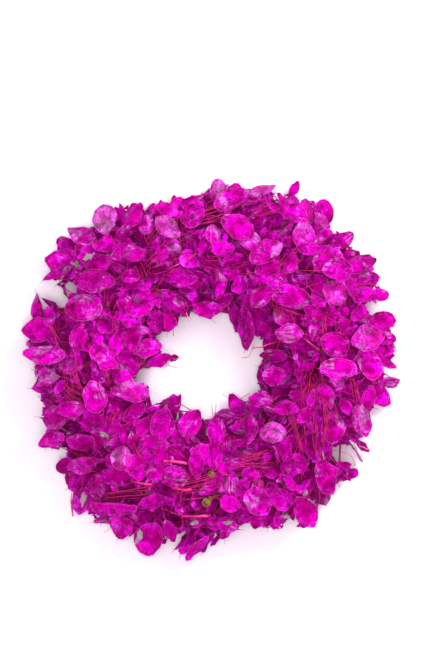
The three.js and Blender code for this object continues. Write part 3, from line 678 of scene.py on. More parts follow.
@dataclass(frozen=True)
class PodShape:
    """The fine form of a pod: a thin closed lens with a pointed oval outline."""

    swell: float = 0.35 * MM
    thinning: float = 0.7  # share of the swell that is gone at the rim
    full: float = 0.05  # how far an oval draws in at its shoulders
    shoulder: float = 0.8  # where along it a pointed end begins
    point_reach: float = 0.2  # from there to the tip
    cup_level: float = 0.4  # how far out a cupped pod keeps its height, squared
    curl_level: float = 0.35
    tears: float = 1.7  # waves from the middle to the rim
    dents: float = 1.9
    creases: float = 4.3
    crease_share: float = 0.6  # of the dents' height
    tear_seed: float = 9
    crease_seed: float = 5
    rest: float = 0.3 * MM  # least height over the floor
    style_length: Pair = (3 * MM, 7 * MM)
    style_radius: float = 0.22 * MM

    def blank(self, rim_points: int, bands: tuple[float, ...]) -> bmesh.types.BMesh:
        """A unit lens.

        Args:
            rim_points: corners of its outline.
            bands: widths of the rings of faces inside the rim.

        Returns:
            The lens. Its rim lies at height 0, its front at 1 and its back at -1.
        """
        lens = bmesh.new()
        quarter = Matrix.Rotation(math.pi / 2, 4, "Z")
        bmesh.ops.create_circle(lens, cap_ends=True, segments=rim_points, radius=1.0, matrix=quarter)
        face = lens.faces[:][0]
        for band in bands:
            bmesh.ops.inset_region(lens, faces=[face], thickness=band, use_even_offset=True)
        bmesh.ops.poke(lens, faces=[face])
        rim = {v for e in lens.edges if e.is_boundary for v in e.verts}
        for v in lens.verts:
            v.co.z = 0.0 if v in rim else 1.0
        back = bmesh.ops.duplicate(lens, geom=lens.verts[:] + lens.edges[:] + lens.faces[:])
        for item in back["geom"]:
            if isinstance(item, bmesh.types.BMVert):
                item.co.z = -item.co.z
        bmesh.ops.remove_doubles(lens, verts=lens.verts, dist=1e-4)
        bmesh.ops.recalc_face_normals(lens, faces=lens.faces)
        for edge in lens.edges:
            edge.smooth = any(v.co.z != 0.0 for v in edge.verts)
        oval = lens.loops.layers.uv.new("pod")
        for face in lens.faces:
            for loop in face.loops:
                loop[oval].uv = (loop.vert.co.x / 2 + 0.5, loop.vert.co.y / 2 + 0.5)
        lens.verts.layers.float_color.new("tint")
        return lens

    @staticmethod
    def _wave(x: float, y: float, scale: float, seed: float) -> float:
        """A smooth random height over the unit lens."""
        return noise.noise(Vector((x * scale, y * scale, seed)))

    def place(self, pod: Pod, look: PodLook, x: float, y: float, side: float = 0.0) -> Vector:
        """Where a point of the unit lens comes to lie.

        Args:
            pod: the pod.
            look: how it is bent.
            x: along the unit lens, from -1 at its base to 1 at its tip.
            y: across it.
            side: 1 for the front skin, -1 for the back one and 0 for the middle.

        Returns:
            The place.
        """
        out = min(1.0, math.hypot(x, y))
        torn = 1.0 - look.ragged * out * abs(self._wave(x, y, self.tears, look.seed + self.tear_seed))
        pointed = 1.0 + look.point * max(0.0, abs(x) - self.shoulder) / self.point_reach
        ahead = x * torn * pointed * pod.length / 2
        sideways = y * torn * (1.0 - (self.full + look.point) * x * x) * pod.width / 2
        height = look.cup * (out * out - self.cup_level) + look.curl * (x * x - self.curl_level)
        height += look.twist * x * y
        height += look.crumple * self._wave(x, y, self.dents, look.seed)
        crease_height = self.crease_share * look.crumple
        height += crease_height * self._wave(x, y, self.creases, look.seed + self.crease_seed)
        crease = look.fold_at * pod.width / 2
        beyond = sideways - crease
        if beyond > 0:
            sideways = crease + beyond * math.cos(look.fold)
            height += beyond * math.sin(look.fold)
        height += side * self.swell * (1.0 - self.thinning * out * out)
        return pod.middle + pod.along * ahead + pod.across * sideways + pod.normal * height

    def grow(self, blank: bmesh.types.BMesh, pod: Pod, look: PodLook) -> bmesh.types.BMesh:
        """Shapes one pod from the unit lens.

        Args:
            blank: the unit lens.
            pod: where it lies.
            look: how it is bent and dyed.

        Returns:
            The pod's mesh.
        """
        lens = blank.copy()
        tint = lens.verts.layers.float_color["tint"]
        for v in lens.verts:
            v.co = self.place(pod, look, *v.co)
            v.co.z = max(v.co.z, self.rest)
            v[tint] = (look.tone, look.fade, look.bare, 1.0)
        return lens

    def style(self, pod: Pod, look: PodLook, rng: random.Random) -> Rod:
        """The hair that the tip of a pod keeps.

        Args:
            pod: the pod.
            look: how it is bent.
            rng: the source of the draws.

        Returns:
            The hair.
        """
        length = rng.uniform(*self.style_length)
        lean = Vector((rng.uniform(-1, 1), rng.uniform(-1, 1), rng.uniform(-0.5, 1))) * 0.5
        start = self.place(pod, look, 1.0, 0.0)
        end = start + (pod.along + lean * 0.8).normalized() * length
        end.z = max(end.z, MM)
        radii = (self.style_radius, self.style_radius / 2)
        return curved_rod(start - pod.along * MM, end, lean * MM, radii, 3)


# Materials


Colour = tuple[float, float, float, float]
Socket = bpy.types.NodeSocket
Value = Socket | float | tuple[float, ...]  # an output to join, or a constant
MIX_INPUTS = (0, 6, 7)  # a Mix node's sockets for its factor and its two colours
MIX_RESULT = 2
SOCKET_KINDS = {"VALUE": "NodeSocketFloat", "RGBA": "NodeSocketColor", "VECTOR": "NodeSocketVector"}
BLACK, GREY, WHITE = ((level, level, level, 1.0) for level in (0.0, 0.5, 1.0))


def linear(level: int) -> float:
    """A screen level of 0 to 255, as light."""
    share = level / 255
    return share / 12.92 if share <= 0.04045 else ((share + 0.055) / 1.055) ** 2.4


def srgb(red: int, green: int, blue: int) -> Colour:
    """A colour given as 0 to 255 on a screen, as the shader wants it."""
    return (linear(red), linear(green), linear(blue), 1.0)


class Nodes:
    """A short way to lay and join shader nodes."""

    def __init__(self, tree: bpy.types.NodeTree) -> None:
        """Works on one node tree."""
        self.tree = tree

    def feed(self, node: bpy.types.Node, name: str | int, value: Value) -> None:
        """Joins an output to an input, or sets the input."""
        socket = node.inputs[name]
        if isinstance(value, Socket):
            self.tree.links.new(value, socket)
        else:
            socket.default_value = value

    def add(self, kind: str, *given: Value, **named: Value) -> bpy.types.Node:
        """Adds a node and sets its properties and inputs.

        Args:
            kind: the node's type.
            given: what its first inputs get, in order.
            named: its properties, and its inputs with spaces written as underscores.

        Returns:
            The node.
        """
        node = self.tree.nodes.new("ShaderNode" + kind)
        for name, value in named.items():
            if hasattr(node, name):
                setattr(node, name, value)
            else:
                self.feed(node, name.replace("_", " "), value)
        for i, value in enumerate(given):
            self.feed(node, i, value)
        return node

    def noise(self, where: Socket, scale: Value, detail: float = 2.0, **named: float) -> Socket:
        """The level of a noise texture."""
        return self.add("TexNoise", Vector=where, Scale=scale, Detail=detail, **named).outputs[0]

    def maths(self, operation: str, *given: Value, held: bool = False) -> Socket:
        """A Math node's result."""
        return self.add("Math", *given, operation=operation, use_clamp=held).outputs[0]

    def plus(self, *values: Value, held: bool = False) -> Socket:
        """A sum, each step of it held between 0 and 1 where that is wanted."""
        return reduce(lambda one, other: self.maths("ADD", one, other, held=held), values)

    def times(self, *values: Value) -> Socket:
        """A product."""
        return reduce(lambda one, other: self.maths("MULTIPLY", one, other), values)

    def minus(self, one: Value, other: Value) -> Socket:
        """A difference."""
        return self.maths("SUBTRACT", one, other)

    def vector(self, operation: str, *given: Value) -> Socket:
        """A Vector Math node's vector."""
        return self.add("VectorMath", *given, operation=operation).outputs[0]

    def length(self, vector: Socket) -> Socket:
        """A vector's length."""
        return self.add("VectorMath", vector, operation="LENGTH").outputs["Value"]

    def mix(self, share: Value, one: Value, other: Value, blend: str = "MIX") -> Socket:
        """A colour between two others."""
        node = self.add("Mix", data_type="RGBA", blend_type=blend)
        for i, value in zip(MIX_INPUTS, (share, one, other)):
            self.feed(node, i, value)
        return node.outputs[MIX_RESULT]

    def ramp(self, value: Value, low: float, high: float) -> Socket:
        """A value stretched from between two limits to between 0 and 1."""
        return self.add("MapRange", value, low, high, interpolation_type="SMOOTHSTEP").outputs[0]

    def crest(self, where: Socket, scale: Value, width: float, bend: float = 0.4) -> Socket:
        """Thin lines along which a noise crosses its middle level.

        Args:
            where: the place.
            scale: of the noise.
            width: of the lines, in levels of the noise.
            bend: how far they wander.

        Returns:
            1 on the lines, and 0 away from them.
        """
        level = self.noise(where, scale, 1.5, Distortion=bend)
        return self.minus(1.0, self.ramp(self.maths("ABSOLUTE", self.minus(level, 0.5)), 0.0, width))

    def show(self, shader: bpy.types.Node) -> None:
        """Makes a shader the material's surface."""
        self.add("OutputMaterial", Surface=shader.outputs[0])


class Group(Nodes):
    """A shader node group while it is made."""

    def __init__(self, name: str, **inputs: Value | None) -> None:
        """Starts the group.

        Args:
            name: its name.
            inputs: the default of each input, which says its kind too, or None for a place.
        """
        super().__init__(bpy.data.node_groups.new(name, "ShaderNodeTree"))
        for label, value in inputs.items():
            kind = "VECTOR" if value is None else "VALUE" if isinstance(value, float) else "RGBA"
            socket = self._socket(label, "INPUT", kind)
            if value is not None:
                socket.default_value = value
        self.given = self.tree.nodes.new("NodeGroupInput").outputs

    def _socket(self, label: str, side: str, kind: str) -> bpy.types.NodeTreeInterfaceSocket:
        """A new input or output of the group."""
        name = label.replace("_", " ")
        return self.tree.interface.new_socket(name=name, in_out=side, socket_type=SOCKET_KINDS[kind])

    def give(self, **results: Socket) -> bpy.types.NodeTree:
        """Makes the group's outputs and ends it.

        Args:
            results: what each output gives.

        Returns:
            The group.
        """
        for label, value in results.items():
            self._socket(label, "OUTPUT", value.type)
        end = self.tree.nodes.new("NodeGroupOutput")
        for label, value in results.items():
            self.feed(end, label, value)
        return self.tree


def uneven_dye() -> bpy.types.NodeTree:
    """Dye that took unevenly: broad patches, with a finer fleck on them."""
    group = Group("uneven_dye", Vector=None, Deep=BLACK, Middle=GREY, Pale=WHITE,
                  Patch_Scale=60.0, Fleck_Scale=500.0)
    at = group.given
    patch = group.noise(at["Vector"], at["Patch Scale"], 3.0, Roughness=0.6)
    fleck = group.noise(at["Vector"], at["Fleck Scale"], Roughness=0.6)
    body = group.mix(group.ramp(patch, 0.36, 0.58), at["Deep"], at["Middle"])
    strength = group.times(group.ramp(fleck, 0.42, 0.66), group.ramp(patch, 0.5, 0.68))
    return group.give(Color=group.mix(strength, body, at["Pale"]))


def dry_creases() -> bpy.types.NodeTree:
    """Creases of a dried skin: long folds, short ones, crackled patches and soft swells."""
    group = Group("dry_creases", Vector=None, Fold_Scale=55.0, Swell_Scale=120.0,
                  Crackle_Scale=190.0, Facet_Scale=105.0)
    at = group.given
    where, scale = at["Vector"], at["Fold Scale"]
    short_folds = group.crest(where, group.times(scale, 2.7), 0.05)
    folds = group.maths("MAXIMUM", group.crest(where, scale, 0.06), group.times(short_folds, 0.6))
    crackled = group.ramp(group.noise(where, scale, 1.0), 0.46, 0.6)
    crackle = group.times(group.crest(where, at["Crackle Scale"], 0.13, 1.0), crackled)
    swell = group.add("TexNoise", Vector=where, Scale=at["Swell Scale"], Detail=2.0)
    shoved = group.vector("MULTIPLY_ADD", swell.outputs["Color"], (0.014, 0.014, 0.014), where)
    facet = group.add("TexVoronoi", Vector=shoved, Scale=at["Facet Scale"])
    # A level for each facet, used only as painted shade of the crumpled facets
    facets = group.add("SeparateColor", facet.outputs["Color"]).outputs[0]
    height = group.plus(group.times(folds, 0.3), group.times(swell.outputs[0], 0.9),
                        group.times(facet.outputs["Distance"], 0.5), group.times(crackle, 0.25))
    return group.give(Height=height, Folds=folds, Crackle=crackle, Facets=facets)


def pod_veins() -> bpy.types.NodeTree:
    """The marks of a skin in its pod's oval: a raised rim, a painted shadow line inside it and long
    streaks.
    """
    group = Group("pod_veins", Oval=None, Offset=BLACK, Streak_Scale=1.0)
    at = group.given
    radius = group.times(group.length(group.vector("SUBTRACT", at["Oval"], (0.5, 0.5, 0.0))), 2.0)
    edge = group.ramp(radius, 0.895, 0.94)
    seam = group.minus(group.ramp(radius, 0.7, 0.76), group.ramp(radius, 0.76, 0.82))
    slim = group.vector("MULTIPLY_ADD", at["Oval"], (1.8, 7.0, 1.0), at["Offset"])
    shifted = group.vector("MULTIPLY_ADD", at["Offset"], (37.0, 53.0, 71.0), slim)
    streak = group.noise(shifted, at["Streak Scale"], 3.0, Distortion=0.5)
    return group.give(
        Rim=group.maths("MAXIMUM", edge, group.times(seam, 0.3)),
        # A painted shadow line just inside the rim, which only darkens the skin
        Groove=group.minus(group.ramp(radius, 0.82, 0.87), edge),
        Streaks=group.ramp(streak, 0.36, 0.64),
    )


def round_the_ring() -> bpy.types.NodeTree:
    """Places on the ring as if it were unrolled: the way round it, the way out, and height."""
    group = Group("round_the_ring", Vector=None, Along=1.0)
    where = group.given["Vector"]
    at = group.add("SeparateXYZ", where).outputs
    length = group.times(group.maths("ARCTAN2", at["Y"], at["X"]), RING.radius, group.given["Along"])
    return group.give(Vector=group.add("CombineXYZ", length, group.length(where), at["Z"]).outputs[0])


class Finishes:
    """The materials of the wreath, each made once."""

    def __init__(self) -> None:
        """Makes the shared groups and every finish."""
        self.dye = uneven_dye()
        self.creases = dry_creases()
        self.veins = pod_veins()
        self.unroll = round_the_ring()
        self.pod = PodSkin().make(self)
        self.stalk = Bark("dyed_stalk", srgb(120, 0, 64), srgb(158, 0, 80), srgb(198, 34, 106)).make(self)
        self.stem = Bark("dyed_stem", srgb(140, 0, 72), srgb(202, 30, 112), srgb(236, 96, 150)).make(self)
        self.olive = Bark("undyed_bark", srgb(62, 42, 16), srgb(104, 76, 32), srgb(134, 104, 54)).make(self)
        self.pith = Bark("cut_pith", srgb(118, 88, 40), srgb(150, 120, 66), srgb(190, 166, 110)).make(self)
        hair = Bark("pale_style", srgb(190, 90, 120), srgb(226, 130, 150), srgb(240, 190, 190))
        self.hair = hair.make(self)
        straw = Bark("straw", srgb(150, 114, 58), srgb(196, 160, 96), srgb(224, 198, 140), along=0.07)
        self.straw = straw.make(self)
        self.wire = WireLacquer().make(self)

    @staticmethod
    def start(name: str) -> tuple[bpy.types.Material, Nodes]:
        """A new material with an empty node tree."""
        material = bpy.data.materials.new(name)
        material.use_nodes = True
        material.node_tree.nodes.clear()
        return material, Nodes(material.node_tree)


@dataclass(frozen=True)
class PodSkin:
    """The dyed papery skin of a pod, clouded pale in patches, partly with a painted sheen, with painted
    highlights along its folds and painted shade in its hollows, which glows where light comes through it.
    """

    deep: Colour = srgb(222, 0, 170)
    middle: Colour = srgb(232, 0, 200)
    pale: Colour = srgb(238, 4, 220)
    # milky skin, and the painted sheen that is laid on in the same colour
    milk_and_sheen: Colour = srgb(240, 140, 244)
    rim: Colour = srgb(250, 148, 238)
    speck: Colour = srgb(150, 0, 104)
    bare: Colour = srgb(204, 190, 188)
    glow: Colour = srgb(246, 0, 226)
    gloss_tint: Colour = srgb(255, 90, 240)
    through: float = 0.58  # share of the light that comes through
    roughness: float = 0.3
    gloss: float = 0.08
    crumple: float = 4.2 * MM  # depth of the bump

    def make(self, finishes: Finishes) -> bpy.types.Material:
        """The material.

        Args:
            finishes: the shared groups.

        Returns:
            The material.
        """
        material, nodes = finishes.start("dyed_pod")
        tint = nodes.add("Attribute", attribute_name="tint").outputs["Color"]
        drawn = nodes.add("SeparateColor", tint).outputs
        where = nodes.vector("ADD", nodes.add("TexCoord").outputs["Object"], tint)
        creases = nodes.add("Group", node_tree=finishes.creases, Vector=where).outputs
        oval = nodes.add("UVMap", uv_map="pod").outputs[0]
        veins = nodes.add("Group", node_tree=finishes.veins, Oval=oval, Offset=tint).outputs
        missed = nodes.times(nodes.ramp(nodes.noise(where, 95.0), 0.36, 0.44), drawn["Blue"])
        # Painted shade of the hollows, the facets and the line inside the rim, multiplied into the skin and
        # into the glow
        level = self._painted_hollow_shade(nodes, drawn["Red"], creases, veins)
        skin = self._skin(nodes, finishes, where, drawn["Green"], creases, veins)
        skin = nodes.mix(missed, nodes.mix(1.0, skin, level, "MULTIPLY"), self.bare)
        lit = nodes.mix(1.0, nodes.mix(missed, self.glow, self.bare), level, "MULTIPLY")

        height = nodes.plus(creases["Height"], nodes.times(veins["Streaks"], 0.35),
                            nodes.times(veins["Rim"], 0.12))
        bump = nodes.add("Bump", Strength=1.0, Distance=self.crumple, Height=height).outputs[0]
        face = nodes.add("BsdfPrincipled", Base_Color=skin, Roughness=self.roughness, Normal=bump,
                         Specular_IOR_Level=self.gloss, Specular_Tint=self.gloss_tint)
        back = nodes.add("BsdfTranslucent", Color=lit, Normal=bump)
        nodes.show(nodes.add("MixShader", self.through, face.outputs[0], back.outputs[0]))
        return material

    def _skin(self, nodes: Nodes, finishes: Finishes, where: Socket, fade: Socket,
              creases: bpy.types.NodeOutputs, veins: bpy.types.NodeOutputs) -> Socket:
        """The skin's colour, with its painted highlights and sheen, before the painted shade is laid on.

        Args:
            nodes: the material's nodes.
            finishes: the shared groups.
            where: the place.
            fade: how milky the pod is.
            creases: the outputs of the creases.
            veins: the outputs of the veins.

        Returns:
            The colour.
        """
        dye = nodes.add("Group", node_tree=finishes.dye, Vector=where, Deep=self.deep, Middle=self.middle,
                        Pale=self.pale, Patch_Scale=55.0, Fleck_Scale=210.0)
        # Painted highlight: the crests of the folds are lightened towards the pale dye
        skin = nodes.mix(nodes.times(creases["Folds"], 0.3), dye.outputs["Color"], self.pale)
        # Milky skin and a painted sheen: pale lilac patches along the streaks, on the crackle and over the
        # paler pods
        cloud = nodes.ramp(nodes.noise(where, 38.0, Distortion=0.6), 0.53, 0.68)
        milk_and_sheen_mask = nodes.plus(nodes.times(cloud, veins["Streaks"]), nodes.times(fade, 0.55),
                          nodes.times(creases["Crackle"], 0.34), held=True)
        skin = nodes.mix(nodes.times(nodes.ramp(milk_and_sheen_mask, 0.22, 1.0), 0.9), skin, self.milk_and_sheen)
        dots = nodes.ramp(nodes.noise(where, 330.0, 1.0), 0.66, 0.7)
        skin = nodes.mix(nodes.times(dots, 0.6), skin, self.speck)
        return nodes.mix(nodes.times(veins["Rim"], 0.18), skin, self.rim)

    @staticmethod
    def _painted_hollow_shade(nodes: Nodes, tone: Socket, creases: bpy.types.NodeOutputs,
               veins: bpy.types.NodeOutputs) -> Socket:
        """The shade painted into the skin's hollows, its crumpled facets and the line inside its rim, which
        turn from violet to red as they get darker.

        Args:
            nodes: the material's nodes.
            tone: strength of the pod's colour.
            creases: the outputs of the creases.
            veins: the outputs of the veins.

        Returns:
            The colour to multiply by.
        """
        raised = nodes.plus(0.1, nodes.times(creases["Height"], 0.62), nodes.times(creases["Facets"], 0.5))
        shade = nodes.times(tone, nodes.minus(raised, nodes.times(veins["Groove"], 0.1)))
        cool = nodes.times(shade, nodes.maths("MULTIPLY_ADD", shade, 0.5, 0.53))
        return nodes.add("CombineColor", shade, shade, cool).outputs[0]


@dataclass(frozen=True)
class Bark:
    """The skin of a stalk, a stem or a straw: three shades of one colour, in patches or streaks."""

    name: str
    deep: Colour
    middle: Colour
    pale: Colour
    along: float = 1.0  # how far the pattern is drawn out round the ring: the less, the longer
    roughness: float = 0.55
    gloss: float = 0.2
    crumple: float = 0.4 * MM  # depth of the bump

    def make(self, finishes: Finishes) -> bpy.types.Material:
        """The material.

        Args:
            finishes: the shared groups.

        Returns:
            The material.
        """
        material, nodes = finishes.start(self.name)
        where = nodes.add("TexCoord").outputs["Object"]
        if self.along < 1.0:
            where = nodes.add("Group", node_tree=finishes.unroll, Vector=where, Along=self.along).outputs[0]
        dye = nodes.add("Group", node_tree=finishes.dye, Vector=where, Deep=self.deep, Middle=self.middle,
                        Pale=self.pale, Patch_Scale=130.0, Fleck_Scale=900.0)
        creases = nodes.add("Group", node_tree=finishes.creases, Vector=where, Fold_Scale=300.0,
                            Swell_Scale=700.0)
        bump = nodes.add("Bump", Strength=0.5, Distance=self.crumple, Height=creases.outputs["Height"])
        nodes.show(nodes.add("BsdfPrincipled", Base_Color=dye.outputs["Color"], Roughness=self.roughness,
                             Specular_IOR_Level=self.gloss, Normal=bump.outputs[0]))
        return material


@dataclass(frozen=True)
class WireLacquer:
    """Green lacquer of the florist's wire, worn to the steel in places."""

    lacquer: Colour = srgb(38, 84, 46)
    steel: Colour = srgb(150, 152, 150)

    def make(self, finishes: Finishes) -> bpy.types.Material:
        """The material.

        Args:
            finishes: the shared groups.

        Returns:
            The material.
        """
        material, nodes = finishes.start("lacquered_wire")
        wear = nodes.noise(nodes.add("TexCoord").outputs["Object"], 320.0, 3.0)
        worn = nodes.ramp(wear, 0.62, 0.70)
        colour = nodes.mix(worn, self.lacquer, self.steel)
        roughness = nodes.plus(0.3, nodes.times(wear, 0.3))
        nodes.show(nodes.add("BsdfPrincipled", Metallic=worn, Base_Color=colour, Roughness=roughness))
        return material


# Ring and wire


@dataclass
class StrawRing:
    """The bound straw ring, drawn in under each turn of the wire, with loose straws on it."""

    ring_steps: int = 192
    section_steps: int = 28
    groove_width: float = 0.16  # share of the pitch
    sunk: float = 0.5 * MM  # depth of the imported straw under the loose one
    ripple: float = 0.35 * MM
    ripples: Pair = (6, 9)  # for each radian, round the ring and round its section
    ripple_seed: float = 3.0
    straws: int = 260
    straw_points: int = 18
    straw_radius: Pair = (0.7 * MM, 1.2 * MM)
    straw_reach: Pair = (0.5, 1.25)  # radians round the ring
    straw_drift: Pair = (-0.5, 0.5)  # radians round its section
    bedded: float = 0.2  # share of its radius that a straw is pressed in
    seed: int = 11

    def surface(self, around: float, section: float) -> float:
        """Distance of the straw's surface from the centre line."""
        turn = around / RING.pitch - section / (2 * math.pi)
        off = abs(turn - round(turn)) / self.groove_width
        return RING.straw - (RING.straw - RING.groove) * math.exp(-off * off)

    def core(self) -> bmesh.types.BMesh:
        """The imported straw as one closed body."""
        body = bmesh.new()
        start = bmesh.ops.create_circle(body, segments=self.section_steps, radius=RING.straw)
        turn = Matrix.Rotation(math.pi / 2, 4, "X")
        bmesh.ops.transform(body, matrix=turn, verts=start["verts"])
        bmesh.ops.translate(body, vec=(RING.radius, 0, RING.height), verts=start["verts"])
        bmesh.ops.spin(body, geom=body.edges[:], axis=UP, steps=self.ring_steps,
                       angle=2 * math.pi, use_merge=True)
        for v in body.verts:
            around = math.atan2(v.co.y, v.co.x)
            section = RING.section_of(v.co)
            waves = Vector((around * self.ripples[0], section * self.ripples[1], self.ripple_seed))
            strand = self.ripple * noise.noise(waves)
            v.co = RING.place(around, section, self.surface(around, section) - self.sunk + strand)
            v.co.z = max(v.co.z, 0.0)
        bmesh.ops.recalc_face_normals(body, faces=body.faces)
        return body

    def loose_straws(self) -> list[Rod]:
        """Single straws that lie along the surface, and drift a little across it."""
        rng = random.Random(self.seed)
        rods = []
        for _ in range(self.straws):
            begin, section = rng.uniform(0, 2 * math.pi), rng.uniform(0, 2 * math.pi)
            reach, drift = rng.uniform(*self.straw_reach), rng.uniform(*self.straw_drift)
            radius = rng.uniform(*self.straw_radius)
            points = []
            for i in range(self.straw_points):
                share = i / (self.straw_points - 1)
                around, at = begin + reach * share, section + drift * share
                point = RING.place(around, at, self.surface(around, at) - self.bedded * radius)
                point.z = max(point.z, radius)
                points.append(point)
            rods.append(Rod(points, [radius] * len(points)))
        return rods

    def build(self, finishes: Finishes) -> bpy.types.Object:
        """Makes the ring."""
        heap = Heap()
        heap.add(self.core())
        heap.add_mesh(rods_mesh(self.loose_straws()))
        piece = add_piece("straw_ring", heap.finish("straw_ring"), [finishes.straw])
        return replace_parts(piece, "base_ring")


@dataclass
class BindingWire:
    """One length of florist's wire, wound once round the ring for each station."""

    radius: float = 0.5 * MM
    points_per_turn: int = 40
    climb: float = 0.35  # half the height over which it rises on to the stems, as a sine
    early: float = 0.4  # share of the rise that it makes before that

    def rise(self, section: float) -> float:
        """Distance from the centre line: low under the ring, high over the stems."""
        share = (1 + math.sin(section) / self.climb) / 2
        return RING.wire_low + (RING.wire_high - RING.wire_low) * smoothstep(share + self.early)

    def build(self, finishes: Finishes) -> bpy.types.Object:
        """Makes the wire."""
        count = int((RING.stations - RING.wire_opening) * self.points_per_turn)
        points = []
        for i in range(count + 1):
            turn = i / self.points_per_turn
            section = 2 * math.pi * turn
            points.append(RING.place(turn * RING.pitch, section, self.rise(section)))
        mesh = rods_mesh([Rod(points, [self.radius] * len(points))], EIGHT_SIDES)
        piece = add_piece("florist_wire", mesh, [finishes.wire])
        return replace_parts(piece, "binding_wire")


# Foliage


@dataclass(frozen=True)
class Look:
    """Lines of sight from one viewpoint, and the pods that cover them."""

    grid: float  # distance between two lines
    lengths: Pair  # of the pods, at the first try and at the last


@dataclass(frozen=True)
class Filling:
    """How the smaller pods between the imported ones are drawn."""

    most: int = 1400
    tries: int = 40  # on one line of sight
    above: Look = Look(3.2 * MM, (38 * MM, 9 * MM))
    sides: Look = Look(7 * MM, (38 * MM, 9 * MM))
    above_again: tuple[Look, ...] = (Look(2.4 * MM, (17 * MM, 6 * MM)), Look(1.7 * MM, (11 * MM, 5 * MM)))
    side_views: int = 10
    side_rise: float = 22.0  # degrees
    slimness: Pair = (0.6, 0.84)  # width as a share of length
    face_out: float = 0.5  # how far a pod's face turns out of the ring
    face_stray: float = 0.38
    point_on: float = 0.5  # how far a pod points along the stems
    point_out: float = 0.3
    shift: Pair = (-0.25, 0.25)  # along itself, as a share of its length
    stalk: Pair = (8 * MM, 80 * MM)
    stalk_turn: float = -0.7  # least cosine between a pod's direction and its stalk's
    stalk_marks: tuple[float, ...] = (0.2, 0.4, 0.6, 0.8)  # where foliage has to lie
    tried_thick: float = 0.5 * MM  # half of a pod's thickness while it is tried
    placed_thick: float = 0.9 * MM
    clear_of_ring: float = 17 * MM  # least distance from the ring's centre line
    floor: float = 2 * MM
    under_crown: float = 2 * MM  # a pod's middle under the mound's surface
    over_crown: float = 3 * MM  # and its edge over it
    sight_step: float = 4 * MM
    sight_reach: float = 0.3  # on each side of the middle
    view_reach: float = 0.21  # half the side of the field of lines
    view_height: float = 30  # of its middle, in millimetres
    surface_tries: int = 5000
    surface_step: float = 2 * MM
    surface_most: float = 110 * MM  # how far out the surface is looked for
    surface_lengths: Pair = (20, 34)  # of the pods in it, in millimetres
    surface_depths: Pair = (1, 8)  # of their middles
    hollow: float = 11 * MM  # least depth that is filled
    hollow_floor: float = 4 * MM  # least distance of their middles from its bottom
    outside: float = 20 * MM  # where a line starts, over the surface
    seed: int = 2024


@dataclass(frozen=True)
class Fan:
    """A group of bare crimson stalks that shows in the photograph, in its pixels and degrees."""

    x: float
    y: float
    heading: float
    length: float
    spread: float  # how far the stalks' headings differ
    across: float  # width of the group
    count: int


FANS = (
    Fan(308, 428, 97, 58, 22, 34, 20),
    Fan(330, 412, -72, 50, 22, 18, 10),
    Fan(61, 338, -58, 40, 14, 12, 8),
    Fan(73, 378, -80, 30, 16, 18, 8),
    Fan(107, 374, -75, 24, 14, 8, 5),
    Fan(78, 398, -48, 36, 34, 20, 12),
    Fan(130, 489, 9, 52, 16, 18, 16),
    Fan(198, 484, 12, 54, 18, 26, 20),
    Fan(252, 457, 4, 42, 26, 18, 12),
    Fan(206, 218, 14, 56, 16, 14, 14),
    Fan(263, 211, 22, 28, 22, 12, 9),
    Fan(279, 314, -58, 30, 50, 18, 12),
    Fan(326, 323, -70, 24, 60, 14, 8),
    Fan(308, 390, 72, 28, 44, 16, 10),
    Fan(353, 390, -80, 28, 16, 10, 7),
    Fan(262, 487, 55, 24, 30, 14, 6),
    Fan(139, 449, -60, 24, 26, 10, 8),
    Fan(114, 416, 68, 20, 40, 12, 6),
    Fan(156, 234, 50, 22, 16, 10, 6),
    Fan(162, 264, 28, 40, 40, 24, 8),
    Fan(182, 263, 30, 34, 4, 3, 2),
    Fan(310, 344, -38, 22, 4, 3, 2),
)


class StemKind(Enum):
    """What a single stem shows, as the material slot of its piece."""

    DYED = 0
    OLIVE = 1
    PITH = 2


@dataclass(frozen=True)
class Strand:
    """A single stem that shows in the photograph, along its pixels."""

    pixels: tuple[Pair, ...]
    radius: float
    kind: StemKind = StemKind.DYED
    stub: float = 0.0  # how far its cut end stands up at its last pixel


STRANDS = (
    Strand(((135, 479), (153, 482)), 1.3 * MM),
    Strand(((165.5, 458.6), (187.7, 461.6)), 1.6 * MM),
    Strand(((174, 485.4), (192, 486.7)), 1.3 * MM),
    Strand(((183, 513.5), (211, 513)), 1.4 * MM),
    Strand(((213, 472), (211, 471)), 3.2 * MM, StemKind.OLIVE, 5 * MM),
    Strand(((209, 498), (206.5, 499.5)), 4.4 * MM, StemKind.OLIVE, 7 * MM),
    Strand(((321, 451), (322.5, 460)), 0.55 * MM, StemKind.PITH),
    Strand(((323, 462), (325, 472)), 0.6 * MM, StemKind.PITH),
    Strand(((275, 342), (268, 344), (262, 347), (253, 348)), 0.7 * MM),
    Strand(((170, 270), (184, 263), (197, 254)), 0.7 * MM),
    Strand(((301, 337), (318, 350)), 0.6 * MM),
    Strand(((70, 502), (72, 518)), 0.8 * MM),
)

CORE = 0.72  # share of a packed pod's outline that no added pod may hide from above
PRESSED = 0.84  # share of an added pod's outline that stays clear of its neighbours
DIVE = 12 * MM  # how far a single stem drops out of sight behind its first place
DIVE_POINTS = 8  # its points up to where it has its full radius
STRAND_ROOT = 0.4  # radius of its root, as a share
FAN_DIVE = 9 * MM
FAN_SHARE = 0.7  # share of a group's count that is laid, as far as there is room
FAN_TRIES = 8  # for each stalk of the count
FAN_STRAY = 0.3  # of a stalk's heading, as a share of the spread
FAN_HALVES = (0.28, 0.5)  # half of a stalk, as a share of the group's length
FAN_SHIFT = 3  # millimetres along the group
LAY_DROP = 1.5  # millimetres by which a stalk lies lower than the pods let it
LAY_SAG = (0.6, 0.6, 0.4)  # millimetres off the straight line
LAY_ROOT = (12 * MM, 110 * MM)  # from a laid stalk's first place to its root
LAY_TURN = 0.4  # least cosine between the stalk and that way
LAY_STEPS = 4
LAY_CHECK = 2 * MM  # distance between its points that no pod may hide

